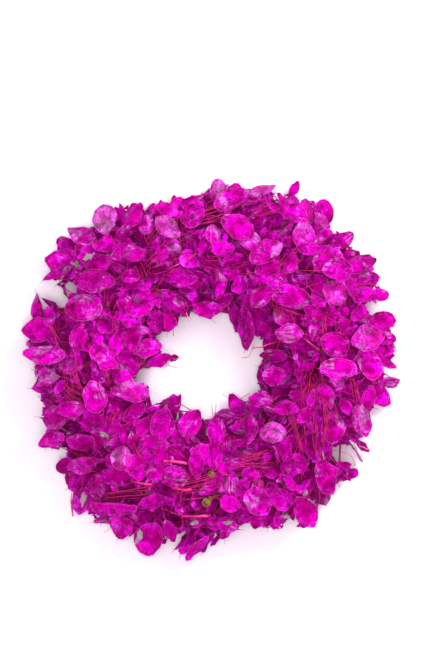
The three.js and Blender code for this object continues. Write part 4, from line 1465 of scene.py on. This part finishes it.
ROOT_FIRST = 7  # the first point of a main stem that added stalks leave from
ROOT_TURN = 1.8  # the less, the straighter the stalks
ROOT_CROWD = 14 * MM  # what each stalk that leaves the same point counts for
ROOT_TRIES = 12
ROOT_CLEAR = 4 * MM
STALK_BARE = 10  # a point beside the foliage, against one seen from above
STALK_SHIFT = 6  # points along the main stem that weigh as much
STALK_EVERY = 3
RING_LEVEL, RING_REACH = 34 * MM, 24 * MM  # what lies lower, this near the ring, would cut it
LOWEST_LEVEL = 8 * MM
LEVEL_STEP = 2 * MM

HAIR_RADIUS = 0.28 * MM
HAIR_OVERLAP = 3 * MM  # of a hair and the pod that it grows on
ON_TOP = 0.8 * MM  # what rests on the pods, over the middles of their skins

# Ends of hairs that stand clear of the foliage: the first pixel of each lies on a pod
HAIRS = (
    ((150, 391), (158, 392)),
    ((176, 359), (184, 358)),
    ((170, 366), (177, 368)),
    ((173, 329), (173, 336)),
    ((187, 314), (189, 321)),
    ((214, 316), (214, 323)),
    ((253, 348), (249, 357), (242, 358)),
    ((225, 396), (230, 399)),
    ((243, 398), (250, 394)),
    ((212, 408), (213, 416)),
    ((216, 408), (215, 415)),
    ((180, 403), (178, 408)),
    ((129, 375), (135, 380)),
    ((362, 446), (368, 448), (372, 440)),
    ((338, 452), (352, 457), (357, 467)),
    ((181, 549), (185, 546), (183, 543)),
    ((105, 533), (109, 530)),
)


@dataclass(frozen=True)
class Scrap:
    """A torn bit that the dye missed, in the photograph's pixels and degrees."""

    x: float
    y: float
    length: float
    width: float
    heading: float


SCRAPS = (
    Scrap(79, 265, 20, 8, -25),
    Scrap(89, 258, 13, 8, 20),
    Scrap(84, 498, 20, 8, 80),
    Scrap(139, 536, 18, 9, 70),
    Scrap(195, 520, 10, 6, 10),
    Scrap(228, 520, 11, 6, 0),
    Scrap(284, 515, 14, 6, 5),
    Scrap(304, 491, 9, 6, 60),
    Scrap(106, 433, 13, 7, -30),
)

# Where the white floor shows through the foliage: left, top, right and bottom, in pixels
OPEN_PLACES = (
    (353, 380, 363, 402),
    (360, 313, 375, 321),
    (366, 369, 374, 375),
    (349, 402, 356, 408),
    (309, 502, 313, 506),
    (335, 446, 362, 458),
    (361, 272, 368, 280),
    (168, 536, 182, 552),
    (145, 205, 154, 213),
    (378, 388, 396, 408),
)

# Pods that look milky in the photograph: the pixel of their middle, and how milky they are
PALE_PLACES = (
    (106, 220, 1.0), (169, 225, 0.8), (170, 248, 0.6), (82, 237, 0.5), (134, 253, 0.4), (85, 312, 0.4),
    (47, 354, 0.35), (81, 339, 0.3), (106, 352, 0.3), (175, 297, 0.35), (149, 348, 0.4), (220, 191, 0.6),
    (261, 191, 0.9), (321, 218, 0.6), (301, 236, 0.5), (337, 266, 0.7), (332, 290, 0.6), (290, 264, 0.5),
    (260, 300, 0.4), (252, 243, 0.4), (366, 336, 0.6), (338, 344, 0.3), (291, 333, 0.5), (337, 363, 0.4),
    (54, 381, 0.5), (124, 391, 0.6), (77, 406, 0.4), (58, 416, 0.5), (55, 440, 0.35), (152, 431, 0.5),
    (185, 425, 0.5), (124, 455, 0.7), (87, 458, 0.5), (101, 484, 0.5), (132, 513, 0.4), (119, 528, 0.5),
    (275, 430, 0.9), (358, 422, 0.6), (281, 378, 0.5), (252, 433, 0.3), (218, 433, 0.3), (289, 497, 0.3),
)


BAND = 0.32  # width of the ring of faces inside a pod's rim
PETIOLE = (0.55, 0.2)  # radius of a pod's stalk, and what it loses up to the pod, in millimetres
FAN_STALK = (0.52, 0.2)
STALK_END = -0.97  # where a stalk ends in its pod, from -1 at its base to 1 at its tip
HAIRY = 0.5  # share of the pods that keep the hair at their tip
STRAND_SEED, SPRAY_SEED = 31, 700
SCRAP_RIM = 12
SCRAP_LOOK = PodLook(cup=MM, curl=-2 * MM, twist=MM, crumple=2.5 * MM, fold=0.5, fold_at=0.1, point=0.1,
                     ragged=0.9, tone=1.15, fade=0.0, bare=1.0, seed=0.0)
SCRAP_RESTS = (-0.4, 0.0, 0.4)  # where it may touch what lies below, along it
SCRAP_CLEAR = 2 * MM

# Radius, depth, kind and shift of the two discs at a cut end, as shares of the stem's radius
CUT_LAYERS = ((1.02, 0.4, StemKind.PITH, 0), (0.94, 0.46, StemKind.OLIVE, 1))
CUT_SHIFT = Vector((0.1, 0.05, 0.0))
CUT_SIDES = 12
CUT_ROUNDING = 0.9  # radius of a disc's outer side, as a share of its inner side's


@dataclass(frozen=True)
class Growth:
    """How one kind of pod grows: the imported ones, or those added between them."""

    rim_points: int
    wild: float  # how far a pod may leave its flat form
    tones: Pair  # the least and the greatest strength of its colour


PACKED = Growth(16, 0.8, (0.86, 1.06))
ADDED = Growth(12, 1.1, (1.0, 1.22))


@dataclass(frozen=True)
class Habit:
    """Chances and limits that the looks of pods are drawn from."""

    bend: float = 0.11  # spread of the cup and the curl, as a share of the width
    twist: float = 0.13
    crumple: Pair = (2.0, 6.0)  # in millimetres
    folded: float = 0.36  # share of the pods
    fold: Pair = (0.35, 1.1)  # radians
    fold_at: Pair = (-0.3, 0.5)
    faded: float = 0.08
    fade: Pair = (0.2, 0.6)
    clear: Pair = (0.0, 0.1)
    torn: float = 0.14
    tears: Pair = (0.4, 0.65)
    nicks: Pair = (0.05, 0.3)
    torn_from: float = 26 * MM  # length from which a pod is torn to the full
    least_torn: float = 0.2
    pointed: float = 0.4
    points: Pair = (0.06, 0.22)
    blunt: Pair = (0.0, 0.06)
    seeds: Pair = (0, 100)

    def draw(self, rng: random.Random, pod: Pod, growth: Growth) -> PodLook:
        """Draws how a pod is bent and dyed.

        Args:
            rng: the source of the draws.
            pod: the pod.
            growth: its kind.

        Returns:
            The look.
        """
        size, wild = pod.width, growth.wild
        folded = rng.random() < self.folded * wild
        fade = self._either(rng, self.faded, self.fade, self.clear)
        ragged = self._either(rng, self.torn * wild, self.tears, self.nicks)
        return PodLook(
            cup=rng.gauss(0, self.bend) * size * wild,
            curl=rng.gauss(0, self.bend) * size * wild,
            twist=rng.gauss(0, self.twist) * size * wild,
            crumple=rng.uniform(*self.crumple) * MM * wild,
            fold=rng.choice((-1.0, 1.0)) * rng.uniform(*self.fold) if folded else 0.0,
            fold_at=rng.uniform(*self.fold_at),
            point=self._either(rng, self.pointed, self.points, self.blunt),
            ragged=ragged * clamp(pod.length / self.torn_from, self.least_torn, 1.0),
            tone=rng.uniform(*growth.tones),
            fade=fade if pod.fade is None else pod.fade,
            bare=0.0,
            seed=rng.uniform(*self.seeds),
        )

    @staticmethod
    def _either(rng: random.Random, chance: float, seldom: Pair, often: Pair) -> float:
        """A draw between the first limits with a chance, and between the others without it."""
        return rng.uniform(*(seldom if rng.random() < chance else often))


class Foliage:
    """All 48 sprays: what is read from the solids, and what grows between."""

    def __init__(self, finishes: Finishes) -> None:
        """Reads every spray and lays out the tangle.

        Args:
            finishes: the materials.
        """
        self.finishes = finishes
        self.shape = PodShape()
        self.habit = Habit()
        self.leaves = Thicket()
        self.base = Thicket()
        self.uses: dict[tuple[int, int], int] = {}  # stalks at each point of each main stem
        self.sprays: list[Spray] = []
        packed, cores = Thicket(), Thicket()
        reader = PodReader()
        for row in Row:
            for station in range(RING.stations):
                name = f"spray_{row.value.name}_{station + 1:02d}"
                stem = main_stem(row.value, station)
                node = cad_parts[name]
                spray = Spray(name, stem, reader.read(node, stem))
                self.sprays.append(spray)
                packed.add_mesh(node.data)
                for pod in spray.pods:
                    self.leaves.add(plate_of(pod))
                    cores.add(plate_of(pod, share=CORE))
        for name in ("base_ring", "binding_wire"):
            self.base.add_mesh(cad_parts[name].data)
        self.plan = Plan(packed)
        self.plan.keep_tops(cores)
        for place in OPEN_PLACES:
            self.plan.keep_open(*place)
        for place in PALE_PLACES:
            self._make_pale(*place)
        log.info("read %d pods from %d sprays", sum(len(s.pods) for s in self.sprays), len(self.sprays))

    def _make_pale(self, x: float, y: float, fade: float) -> None:
        """Makes the pod that a pixel of the photograph shows milky."""
        place = from_pixels(x, y)
        pods = [pod for spray in self.sprays for pod in spray.pods]
        min(pods, key=lambda pod: (pod.middle.xy - place.xy).length).fade = fade

    def build(self, eye: Vector) -> None:
        """Makes every spray, the bare stalks and what lies loose, for a camera at the eye.

        Args:
            eye: where the camera stands.
        """
        rng = random.Random(STRAND_SEED)
        fans = [rod for fan in FANS for rod in self.lay_fan(rng, fan)]
        self.build_strands(rng)
        Filler(self, Filling(), eye).run()
        for index, spray in enumerate(self.sprays):
            piece = self.build_spray(index, spray)
            log.info("%s: %d pods", piece.name, len(spray.pods) + len(spray.fillers))
        add_piece("bare_stalks", rods_mesh(fans), [self.finishes.stalk])
        self.build_scraps(rng)
        self.build_hairs()

    def best_root(self, start: Vector, run: Vector, limits: Pair,
                  least: float) -> tuple[Spray, int] | None:
        """The place on a main stem that suits a stalk best.

        Args:
            start: where the stalk is wanted.
            run: its direction there.
            limits: the shortest and the longest way to the main stem.
            least: how far the way to it must agree with the stalk's direction.

        Returns:
            The spray and the place's number on its stem, or None.
        """
        found = []
        for number, spray in enumerate(self.sprays):
            for at in range(ROOT_FIRST, STEM_POINTS - 1):
                way = start - spray.stem[at]
                length = way.length
                if limits[0] < length < limits[1] and way.dot(run) > least * length:
                    crowd = ROOT_CROWD * self.uses.get((number, at), 0)
                    found.append((length * (ROOT_TURN - way.dot(run) / length) + crowd, number, at))
        found.sort()
        for _, number, at in found[:ROOT_TRIES]:
            way = self.sprays[number].stem[at] - start
            blocked = self.leaves.hit(start + way.normalized() * MM, way.normalized())
            if blocked is None or blocked > way.length - ROOT_CLEAR:
                self.uses[(number, at)] = self.uses.get((number, at), 0) + 1
                return self.sprays[number], at
        return (self.sprays[found[0][1]], found[0][2]) if found else None

    @staticmethod
    def rise_from(spray: Spray, at: int, end: Vector, run: Vector,
                  bend: float = STALK_BENDS[0]) -> list[Vector]:
        """Points of a stalk that leaves its main stem forwards and arrives along its pod.

        Args:
            spray: whose main stem it leaves.
            at: the number of the place on that stem.
            end: where it arrives.
            run: its direction there.
            bend: share of its length over which it keeps its first and last directions.

        Returns:
            The points.
        """
        root = spray.stem[at]
        onward = (spray.stem[min(at + 1, STEM_POINTS - 1)] - spray.stem[at - 1]).normalized()
        reach = (end - root).length * bend
        corners = (root, root + onward * reach, end - run * reach, end)
        points = []
        for i in range(STALK_STEPS + 1):
            t = i / STALK_STEPS
            weights = ((1 - t) ** 3, 3 * t * (1 - t) ** 2, 3 * t * t * (1 - t), t ** 3)
            points.append(sum((corner * weight for corner, weight in zip(corners, weights)), Vector()))
        return points

    def stalk_to(self, spray: Spray, pod: Pod, base: Vector) -> list[Vector]:
        """The stalk of a pod: of those that it may have, the one that shows least.

        Args:
            spray: the pod's spray.
            pod: the pod.
            base: where the stalk arrives.

        Returns:
            Its points.
        """
        root = min(range(1, STEM_POINTS), key=lambda i: (spray.stem[i] - pod.root).length)
        places = {root} | set(range(root % STALK_EVERY + 1, STEM_POINTS, STALK_EVERY))
        drawn = []
        for at in sorted(places):
            for bend in STALK_BENDS:
                points = self.rise_from(spray, at, base, pod.along, bend)
                bare = sum(not self.plan.covers(point) for point in points)
                seen = sum(self.leaves.hit(point + UP * MM, UP) is None for point in points)
                cost = STALK_BARE * bare + seen + abs(at - root) / STALK_SHIFT
                drawn.append((cost, len(drawn), points))
        return min(drawn)[2]

    def free_height(self, ends: list[Vector]) -> float | None:
        """The greatest height at which a level line between two places clears the pods.

        Args:
            ends: the two places.

        Returns:
            The height, or None where pods lie in its way all through the mound.
        """
        middle = (ends[0] + ends[1]) / 2
        radius = from_middle(middle)
        low = RING_LEVEL if abs(radius - RING.radius) < RING_REACH else LOWEST_LEVEL
        way = ends[1] - ends[0]
        height = MOUND.height(radius) - LEVEL_STEP
        while height > low:
            start = Vector((ends[0].x, ends[0].y, height))
            gone = self.leaves.hit(start, way.normalized())
            if gone is None or gone > way.length:
                return height
            height -= LEVEL_STEP
        return None

    def lay_fan(self, rng: random.Random, fan: Fan) -> list[Rod]:
        """Lays a group of bare stalks into the hollow that the photograph shows it in.

        Args:
            rng: the source of the draws.
            fan: the group.

        Returns:
            The stalks.
        """
        middle = from_pixels(fan.x, fan.y)
        ahead = level_way(math.radians(fan.heading))
        aside = Vector((-ahead.y, ahead.x, 0.0))
        if ahead.dot(clockwise(math.atan2(middle.y, middle.x))) < 0:
            ahead = -ahead
        rods = []
        wanted = round(fan.count * FAN_SHARE)
        for _ in range(fan.count * FAN_TRIES):
            if len(rods) == wanted:
                break
            off = rng.uniform(-0.5, 0.5)
            stray = off + rng.uniform(-FAN_STRAY, FAN_STRAY)
            run = Matrix.Rotation(math.radians(fan.spread) * stray, 3, "Z") @ ahead
            half = run * fan.length * PIXEL * rng.uniform(*FAN_HALVES)
            shift = ahead * rng.uniform(-FAN_SHIFT, FAN_SHIFT) * MM
            centre = middle + aside * off * fan.across * PIXEL + shift
            points = self.lay_between([centre - half, centre + half], rng, FAN_DIVE)
            if points:
                rods.append(tapered(points, *FAN_STALK))
        return rods

    def lay_between(self, places: list[Vector], rng: random.Random, dive: float) -> list[Vector]:
        """Lays a stalk over some places as high as the pods leave room, and roots it.

        Args:
            places: level places, from its rooted side to its tip.
            rng: the source of the draws.
            dive: how far it drops out of sight just before the first place.

        Returns:
            Its points, none where there is no room.
        """
        height = self.free_height(places)
        if height is None:
            return []
        run = (places[1] - places[0]).normalized()
        raised = [place + UP * (height - rng.uniform(0, LAY_DROP) * MM) for place in places]
        found = self.best_root(raised[0], run, LAY_ROOT, LAY_TURN)
        points = [raised[0]]
        if found:
            below = raised[0] - run * (dive / 4) - UP * dive
            points = smooth_path([found[0].stem[found[1]], below, raised[0]])
        for start, end in zip(raised, raised[1:]):
            sag = Vector([rng.gauss(0, spread) for spread in LAY_SAG]) * MM
            points += curved_rod(start, end, sag, (0.0, 0.0), LAY_STEPS).points[1:]
        steps = int((places[-1] - places[0]).length / LAY_CHECK) + 1
        for i in range(steps + 1):
            self.plan.keep_clear(raised[0].lerp(raised[-1], i / steps))
        return points

    def build_strands(self, rng: random.Random) -> None:
        """Makes the single stems, with a pale face where one was cut.

        Args:
            rng: the source of the draws.
        """
        heap = Heap()
        for strand in STRANDS:
            places = [from_pixels(*pixel) for pixel in strand.pixels]
            points = self.lay_between(places, rng, DIVE)
            if not points:
                log.info("no room for the strand at %s", strand.pixels[0])
                continue
            points[-1] += UP * strand.stub
            shares = [min(1.0, i / DIVE_POINTS) for i in range(len(points))]
            radii = [strand.radius * (STRAND_ROOT + (1 - STRAND_ROOT) * share ** 3) for share in shares]
            mesh = rods_mesh([Rod(points, radii)], EIGHT_SIDES)
            paint(mesh, strand.kind.value)
            heap.add_mesh(mesh)
            if strand.stub:
                heap.add(self.cut_face(points[-1], (points[-1] - points[-2]).normalized(), strand.radius))
        finishes = [self.finishes.stem, self.finishes.olive, self.finishes.pith]
        add_piece("cut_stems", heap.finish("cut_stems"), finishes)

    @staticmethod
    def cut_face(end: Vector, run: Vector, radius: float) -> bmesh.types.BMesh:
        """The end of a cut stem: brown wood, with a pale crescent of bark beside it.

        Args:
            end: middle of the cut.
            run: direction of the stem there.
            radius: of the stem.

        Returns:
            The mesh of its two low discs.
        """
        discs = bmesh.new()
        for share, depth, kind, shift in CUT_LAYERS:
            before = set(discs.faces)
            middle = Matrix.Translation(end + CUT_SHIFT * radius * shift)
            place = middle @ run.to_track_quat("Z", "Y").to_matrix().to_4x4()
            bmesh.ops.create_cone(discs, cap_ends=True, segments=CUT_SIDES, radius1=radius * share,
                                  radius2=radius * share * CUT_ROUNDING, depth=radius * depth, matrix=place)
            for face in set(discs.faces) - before:
                face.material_index = kind.value
        return discs

    def on_top(self, place: Vector) -> Vector:
        """A place lifted to just over the pods that lie there."""
        gone = self.leaves.hit(Vector((place.x, place.y, SKY)), -UP)
        height = SKY - gone if gone is not None else 0.0
        return Vector((place.x, place.y, height + ON_TOP))

    def build_hairs(self) -> None:
        """Makes the hairs that stand clear of the foliage, level with the pod that each grows on."""
        rods = []
        for pixels in HAIRS:
            places = [from_pixels(*pixel) for pixel in pixels]
            height = self.on_top(places[0]).z
            inward = (places[0] - places[1]).normalized() * HAIR_OVERLAP
            points = smooth_path([places[0] + inward] + places)
            rods.append(Rod([point + UP * height for point in points], [HAIR_RADIUS] * len(points)))
        add_piece("loose_hairs", rods_mesh(rods), [self.finishes.hair])

    def build_scraps(self, rng: random.Random) -> None:
        """Makes the torn bits that the dye missed, resting on the pods below them.

        Args:
            rng: the source of the draws.
        """
        heap = Heap()
        blank = self.shape.blank(SCRAP_RIM, (BAND,))
        for scrap in SCRAPS:
            along = level_way(math.radians(scrap.heading))
            place = from_pixels(scrap.x, scrap.y)
            length = scrap.length * PIXEL
            under = [self.on_top(place + along * (length * share)) for share in SCRAP_RESTS]
            middle = Vector((place.x, place.y, max(spot.z for spot in under) + SCRAP_CLEAR))
            pod = Pod(middle, along, UP, length, scrap.width * PIXEL, middle)
            look = replace(SCRAP_LOOK, seed=rng.uniform(*self.habit.seeds))
            heap.add(self.shape.grow(blank, pod, look))
        blank.free()
        add_piece("undyed_scraps", heap.finish("undyed_scraps"), [self.finishes.pod])

    def build_spray(self, index: int, spray: Spray) -> bpy.types.Object:
        """Grows one spray as one piece.

        Args:
            index: its number, which seeds its draws.
            spray: the spray.

        Returns:
            The piece.
        """
        rng = random.Random(SPRAY_SEED + index)
        heap = Heap()
        rods = []
        for pods, growth in ((spray.pods, PACKED), (spray.fillers, ADDED)):
            blank = self.shape.blank(growth.rim_points, (BAND,))
            for pod in pods:
                look = self.habit.draw(rng, pod, growth)
                heap.add(self.shape.grow(blank, pod, look))
                points = self.stalk_to(spray, pod, self.shape.place(pod, look, STALK_END, 0.0))
                rods.append(tapered(points, *PETIOLE))
                if rng.random() < HAIRY:
                    rods.append(self.shape.style(pod, look, rng))
            blank.free()
        thick = [STEM_RADIUS * (1.0 - STEM_TAPER * i / (STEM_POINTS - 1)) for i in range(STEM_POINTS)]
        for mesh in (rods_mesh(rods), rods_mesh([Rod(spray.stem, thick)], EIGHT_SIDES)):
            paint(mesh, 1)
            heap.add_mesh(mesh)
        finishes = [self.finishes.pod, self.finishes.stalk]
        name = "fine_" + spray.node
        piece = add_piece(name, heap.finish(name), finishes)
        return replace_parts(piece, spray.node)


class Filler:
    """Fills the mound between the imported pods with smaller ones, until little shows through it."""

    def __init__(self, foliage: Foliage, plan: Filling, eye: Vector) -> None:
        """Works on the foliage by a plan, and for a camera that stands at the eye."""
        self.foliage = foliage
        self.plan = plan
        self.eye = eye
        self.rng = random.Random(plan.seed)
        self.placed = 0

    def inside(self, point: Vector) -> bool:
        """Whether a point lies in the mound, clear of the ring."""
        if not self.plan.floor < point.z < MOUND.height(from_middle(point)) - self.plan.under_crown:
            return False
        return self.foliage.plan.holds(point) and RING.distance(point) > self.plan.clear_of_ring

    def fits(self, pod: Pod) -> bool:
        """Whether a pod stays in the mound, off the open places, and meets nothing.

        Args:
            pod: the pod.

        Returns:
            Whether it does.
        """
        plan = self.plan
        for point in pod.rim() + [pod.middle]:
            if point.z < plan.floor or RING.distance(point) < plan.clear_of_ring:
                return False
            if point.z > MOUND.height(from_middle(point)) + plan.over_crown:
                return False
            if not self.foliage.plan.holds(point):
                return False
        plate = plate_of(pod, plan.tried_thick, PRESSED)
        return not (self.foliage.leaves.meets(plate) or self.foliage.base.meets(plate))

    def try_pod(self, middle: Vector, facing: Vector, length: float) -> bool:
        """Tries a pod that lies about as the sprays run, and keeps it where there is room.

        Args:
            middle: where it would lie.
            facing: the side that it is seen from.
            length: its length.

        Returns:
            Whether it was kept.
        """
        plan, rng = self.plan, self.rng
        around = math.atan2(middle.y, middle.x)
        outward = RING.outward(around, RING.section_of(middle))
        stray = Vector([rng.gauss(0, 1) for _ in range(3)])
        normal = (facing + outward * plan.face_out + stray * plan.face_stray).normalized()
        drift = Vector([rng.uniform(-1, 1) for _ in range(3)])
        along = clockwise(around) * plan.point_on + outward * plan.point_out + drift
        along = (along - normal * along.dot(normal)).normalized()
        shift = along * rng.uniform(*plan.shift) * length
        pod = Pod(middle + shift, along, normal, length, length * rng.uniform(*plan.slimness), middle)
        if not self.fits(pod):
            return False
        found = self.foliage.best_root(pod.base, pod.along, plan.stalk, plan.stalk_turn)
        if found is None:
            return False
        spray, at = found
        pod.root = spray.stem[at]
        if not all(self.foliage.plan.covers(pod.base.lerp(pod.root, mark)) for mark in plan.stalk_marks):
            return False
        spray.fillers.append(pod)
        self.foliage.leaves.add(plate_of(pod, plan.placed_thick))
        self.placed += 1
        return True

    def try_ray(self, origin: Vector, direction: Vector, lengths: Pair) -> None:
        """Places a pod on a line of sight that runs through the mound and meets no leaf.

        Args:
            origin: a point before the mound.
            direction: the way that the line runs.
            lengths: of the pod, at the first try and at the last.
        """
        plan = self.plan
        gone = self.foliage.leaves.hit(origin, direction)
        stretch: list[Vector] = []
        distance = 0.0
        while distance < 2 * plan.sight_reach:
            point = origin + direction * distance
            if self.inside(point):
                stretch.append(point)
            elif stretch:
                break
            distance += plan.sight_step
        if len(stretch) < 2 or (gone is not None and gone < distance):
            return
        longest, shortest = lengths
        for i in range(plan.tries):
            length = longest + (shortest - longest) * i / plan.tries
            if self.try_pod(self.rng.choice(stretch), -direction, length):
                return

    def view(self, towards: Vector, look: Look, eye: Vector | None = None) -> None:
        """Covers the lines of sight of one viewpoint.

        Args:
            towards: the way from the wreath to the viewpoint.
            look: how close its lines lie, and the pods that cover them.
            eye: the viewpoint, where it is near enough for its lines to spread.
        """
        right = Vector((1.0, 0.0, 0.0)) if towards == UP else UP.cross(towards).normalized()
        over = towards.cross(right)
        reach = int(self.plan.view_reach / look.grid)
        rays = [(i, j) for i in range(-reach, reach + 1) for j in range(-reach, reach + 1)]
        self.rng.shuffle(rays)
        for i, j in rays:
            if self.placed >= self.plan.most:
                return
            aim = right * i * look.grid + over * j * look.grid + UP * self.plan.view_height * MM
            back = towards if eye is None else (eye - aim).normalized()
            self.try_ray(aim + back * self.plan.sight_reach, -back, look.lengths)

    def surface(self) -> None:
        """Fills the hollows of the mound's surface, but for those where bare stalks show."""
        plan, rng = self.plan, self.rng
        for _ in range(plan.surface_tries):
            if self.placed >= plan.most:
                return
            around, section = rng.uniform(0, 2 * math.pi), math.radians(rng.uniform(0, 180))
            out = RING.outward(around, section)
            edge = self.reach(around, section)
            gone = self.foliage.leaves.hit(RING.place(around, section, edge + plan.outside), -out)
            room = (edge if gone is None else gone) - plan.outside
            if room < plan.hollow:
                continue
            depth = min(rng.uniform(*plan.surface_depths) * MM, room - plan.hollow_floor)
            length = rng.uniform(*plan.surface_lengths) * MM
            self.try_pod(RING.place(around, section, edge - depth), out, length)

    def reach(self, around: float, section: float) -> float:
        """How far the mound reaches from the ring's centre line in one direction."""
        plan = self.plan
        distance = plan.clear_of_ring
        while distance < plan.surface_most:
            if not self.inside(RING.place(around, section, distance + plan.surface_step)):
                break
            distance += plan.surface_step
        return distance

    def run(self) -> None:
        """Works through the viewpoints."""
        plan = self.plan
        self.surface()
        log.info("on the surface: %d pods", self.placed)
        self.view(UP, plan.above, self.eye)
        log.info("from above: %d pods", self.placed)
        rise = math.radians(plan.side_rise)
        for i in range(plan.side_views):
            turn = 2 * math.pi * i / plan.side_views
            level = (math.cos(rise) * math.cos(turn), math.cos(rise) * math.sin(turn))
            self.view(Vector((*level, math.sin(rise))), plan.sides)
        log.info("from the sides: %d pods", self.placed)
        for look in plan.above_again:
            self.view(UP, look, self.eye)
            log.info("smaller ones from above: %d pods", self.placed)


# Camera and light


@dataclass(frozen=True)
class Lamp:
    """A soft square light that is turned to the wreath."""

    name: str
    place: tuple[float, float, float]
    size: float
    power: float


@dataclass(frozen=True)
class Studio:
    """A camera that looks straight down, a pale floor and soft light from the upper right."""

    lens: float = 150.0
    sensor: float = 36.0
    level: float = 30 * MM  # height at which a pixel covers its stated size
    floor: float = 6.0
    floor_level: float = -0.2 * MM
    floor_colour: Colour = (0.62, 0.55, 0.61, 1.0)
    floor_roughness: float = 0.9
    floor_gloss: float = 0.1
    world: float = 1.14
    lamps: tuple[Lamp, ...] = (
        Lamp("key", (1.0, 0.9, 1.3), 0.6, 35.0),
        Lamp("fill", (-0.1, -0.1, 3.2), 1.2, 86.0),
    )

    def build(self) -> None:
        """Sets the scene up."""
        scene = bpy.context.scene
        scene.view_settings.view_transform = "Standard"
        scene.view_settings.look = "None"
        self.camera(scene)
        self.ground()
        self.lights(scene)

    @property
    def eye(self) -> Vector:
        """Where the camera stands: over the middle of the photograph."""
        over = from_pixels(PHOTO_WIDTH / 2, PHOTO_HEIGHT / 2)
        return over + UP * (PHOTO_HEIGHT * PIXEL * self.lens / self.sensor + self.level)

    def camera(self, scene: bpy.types.Scene) -> None:
        """Adds the camera."""
        data = bpy.data.cameras.new("camera")
        data.lens = self.lens
        data.sensor_width = self.sensor
        camera = bpy.data.objects.new("camera", data)
        camera.location = self.eye
        scene.collection.objects.link(camera)
        scene.camera = camera

    def ground(self) -> None:
        """Adds the floor."""
        sheet = bmesh.new()
        bmesh.ops.create_grid(sheet, x_segments=1, y_segments=1, size=self.floor)
        bmesh.ops.translate(sheet, vec=(0, 0, self.floor_level), verts=sheet.verts)
        mesh = bpy.data.meshes.new("floor")
        sheet.to_mesh(mesh)
        sheet.free()
        material = bpy.data.materials.new("white_paper")
        material.use_nodes = True
        surface = material.node_tree.nodes["Principled BSDF"]
        surface.inputs["Base Color"].default_value = self.floor_colour
        surface.inputs["Roughness"].default_value = self.floor_roughness
        surface.inputs["Specular IOR Level"].default_value = self.floor_gloss
        mesh.materials.append(material)
        floor = bpy.data.objects.new("floor", mesh)
        bpy.context.scene.collection.objects.link(floor)

    def lights(self, scene: bpy.types.Scene) -> None:
        """Adds the soft lamps and the even light of a white room."""
        world = bpy.data.worlds.new("white_room")
        world.use_nodes = True
        room = world.node_tree.nodes["Background"]
        room.inputs["Color"].default_value = (1.0, 1.0, 1.0, 1.0)
        room.inputs["Strength"].default_value = self.world
        scene.world = world
        for lamp in self.lamps:
            data = bpy.data.lights.new(lamp.name, "AREA")
            data.size = lamp.size
            data.energy = lamp.power
            light = bpy.data.objects.new(lamp.name, data)
            light.location = lamp.place
            light.rotation_euler = Vector(lamp.place).to_track_quat("Z", "Y").to_euler()
            scene.collection.objects.link(light)


def main() -> None:
    """Builds the wreath."""
    logging.basicConfig(level=logging.INFO, format="%(name)s: %(message)s")
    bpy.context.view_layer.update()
    studio = Studio()
    studio.build()
    finishes = Finishes()
    StrawRing().build(finishes)
    BindingWire().build(finishes)
    Foliage(finishes).build(studio.eye)


if __name__ == "__main__":
    main()
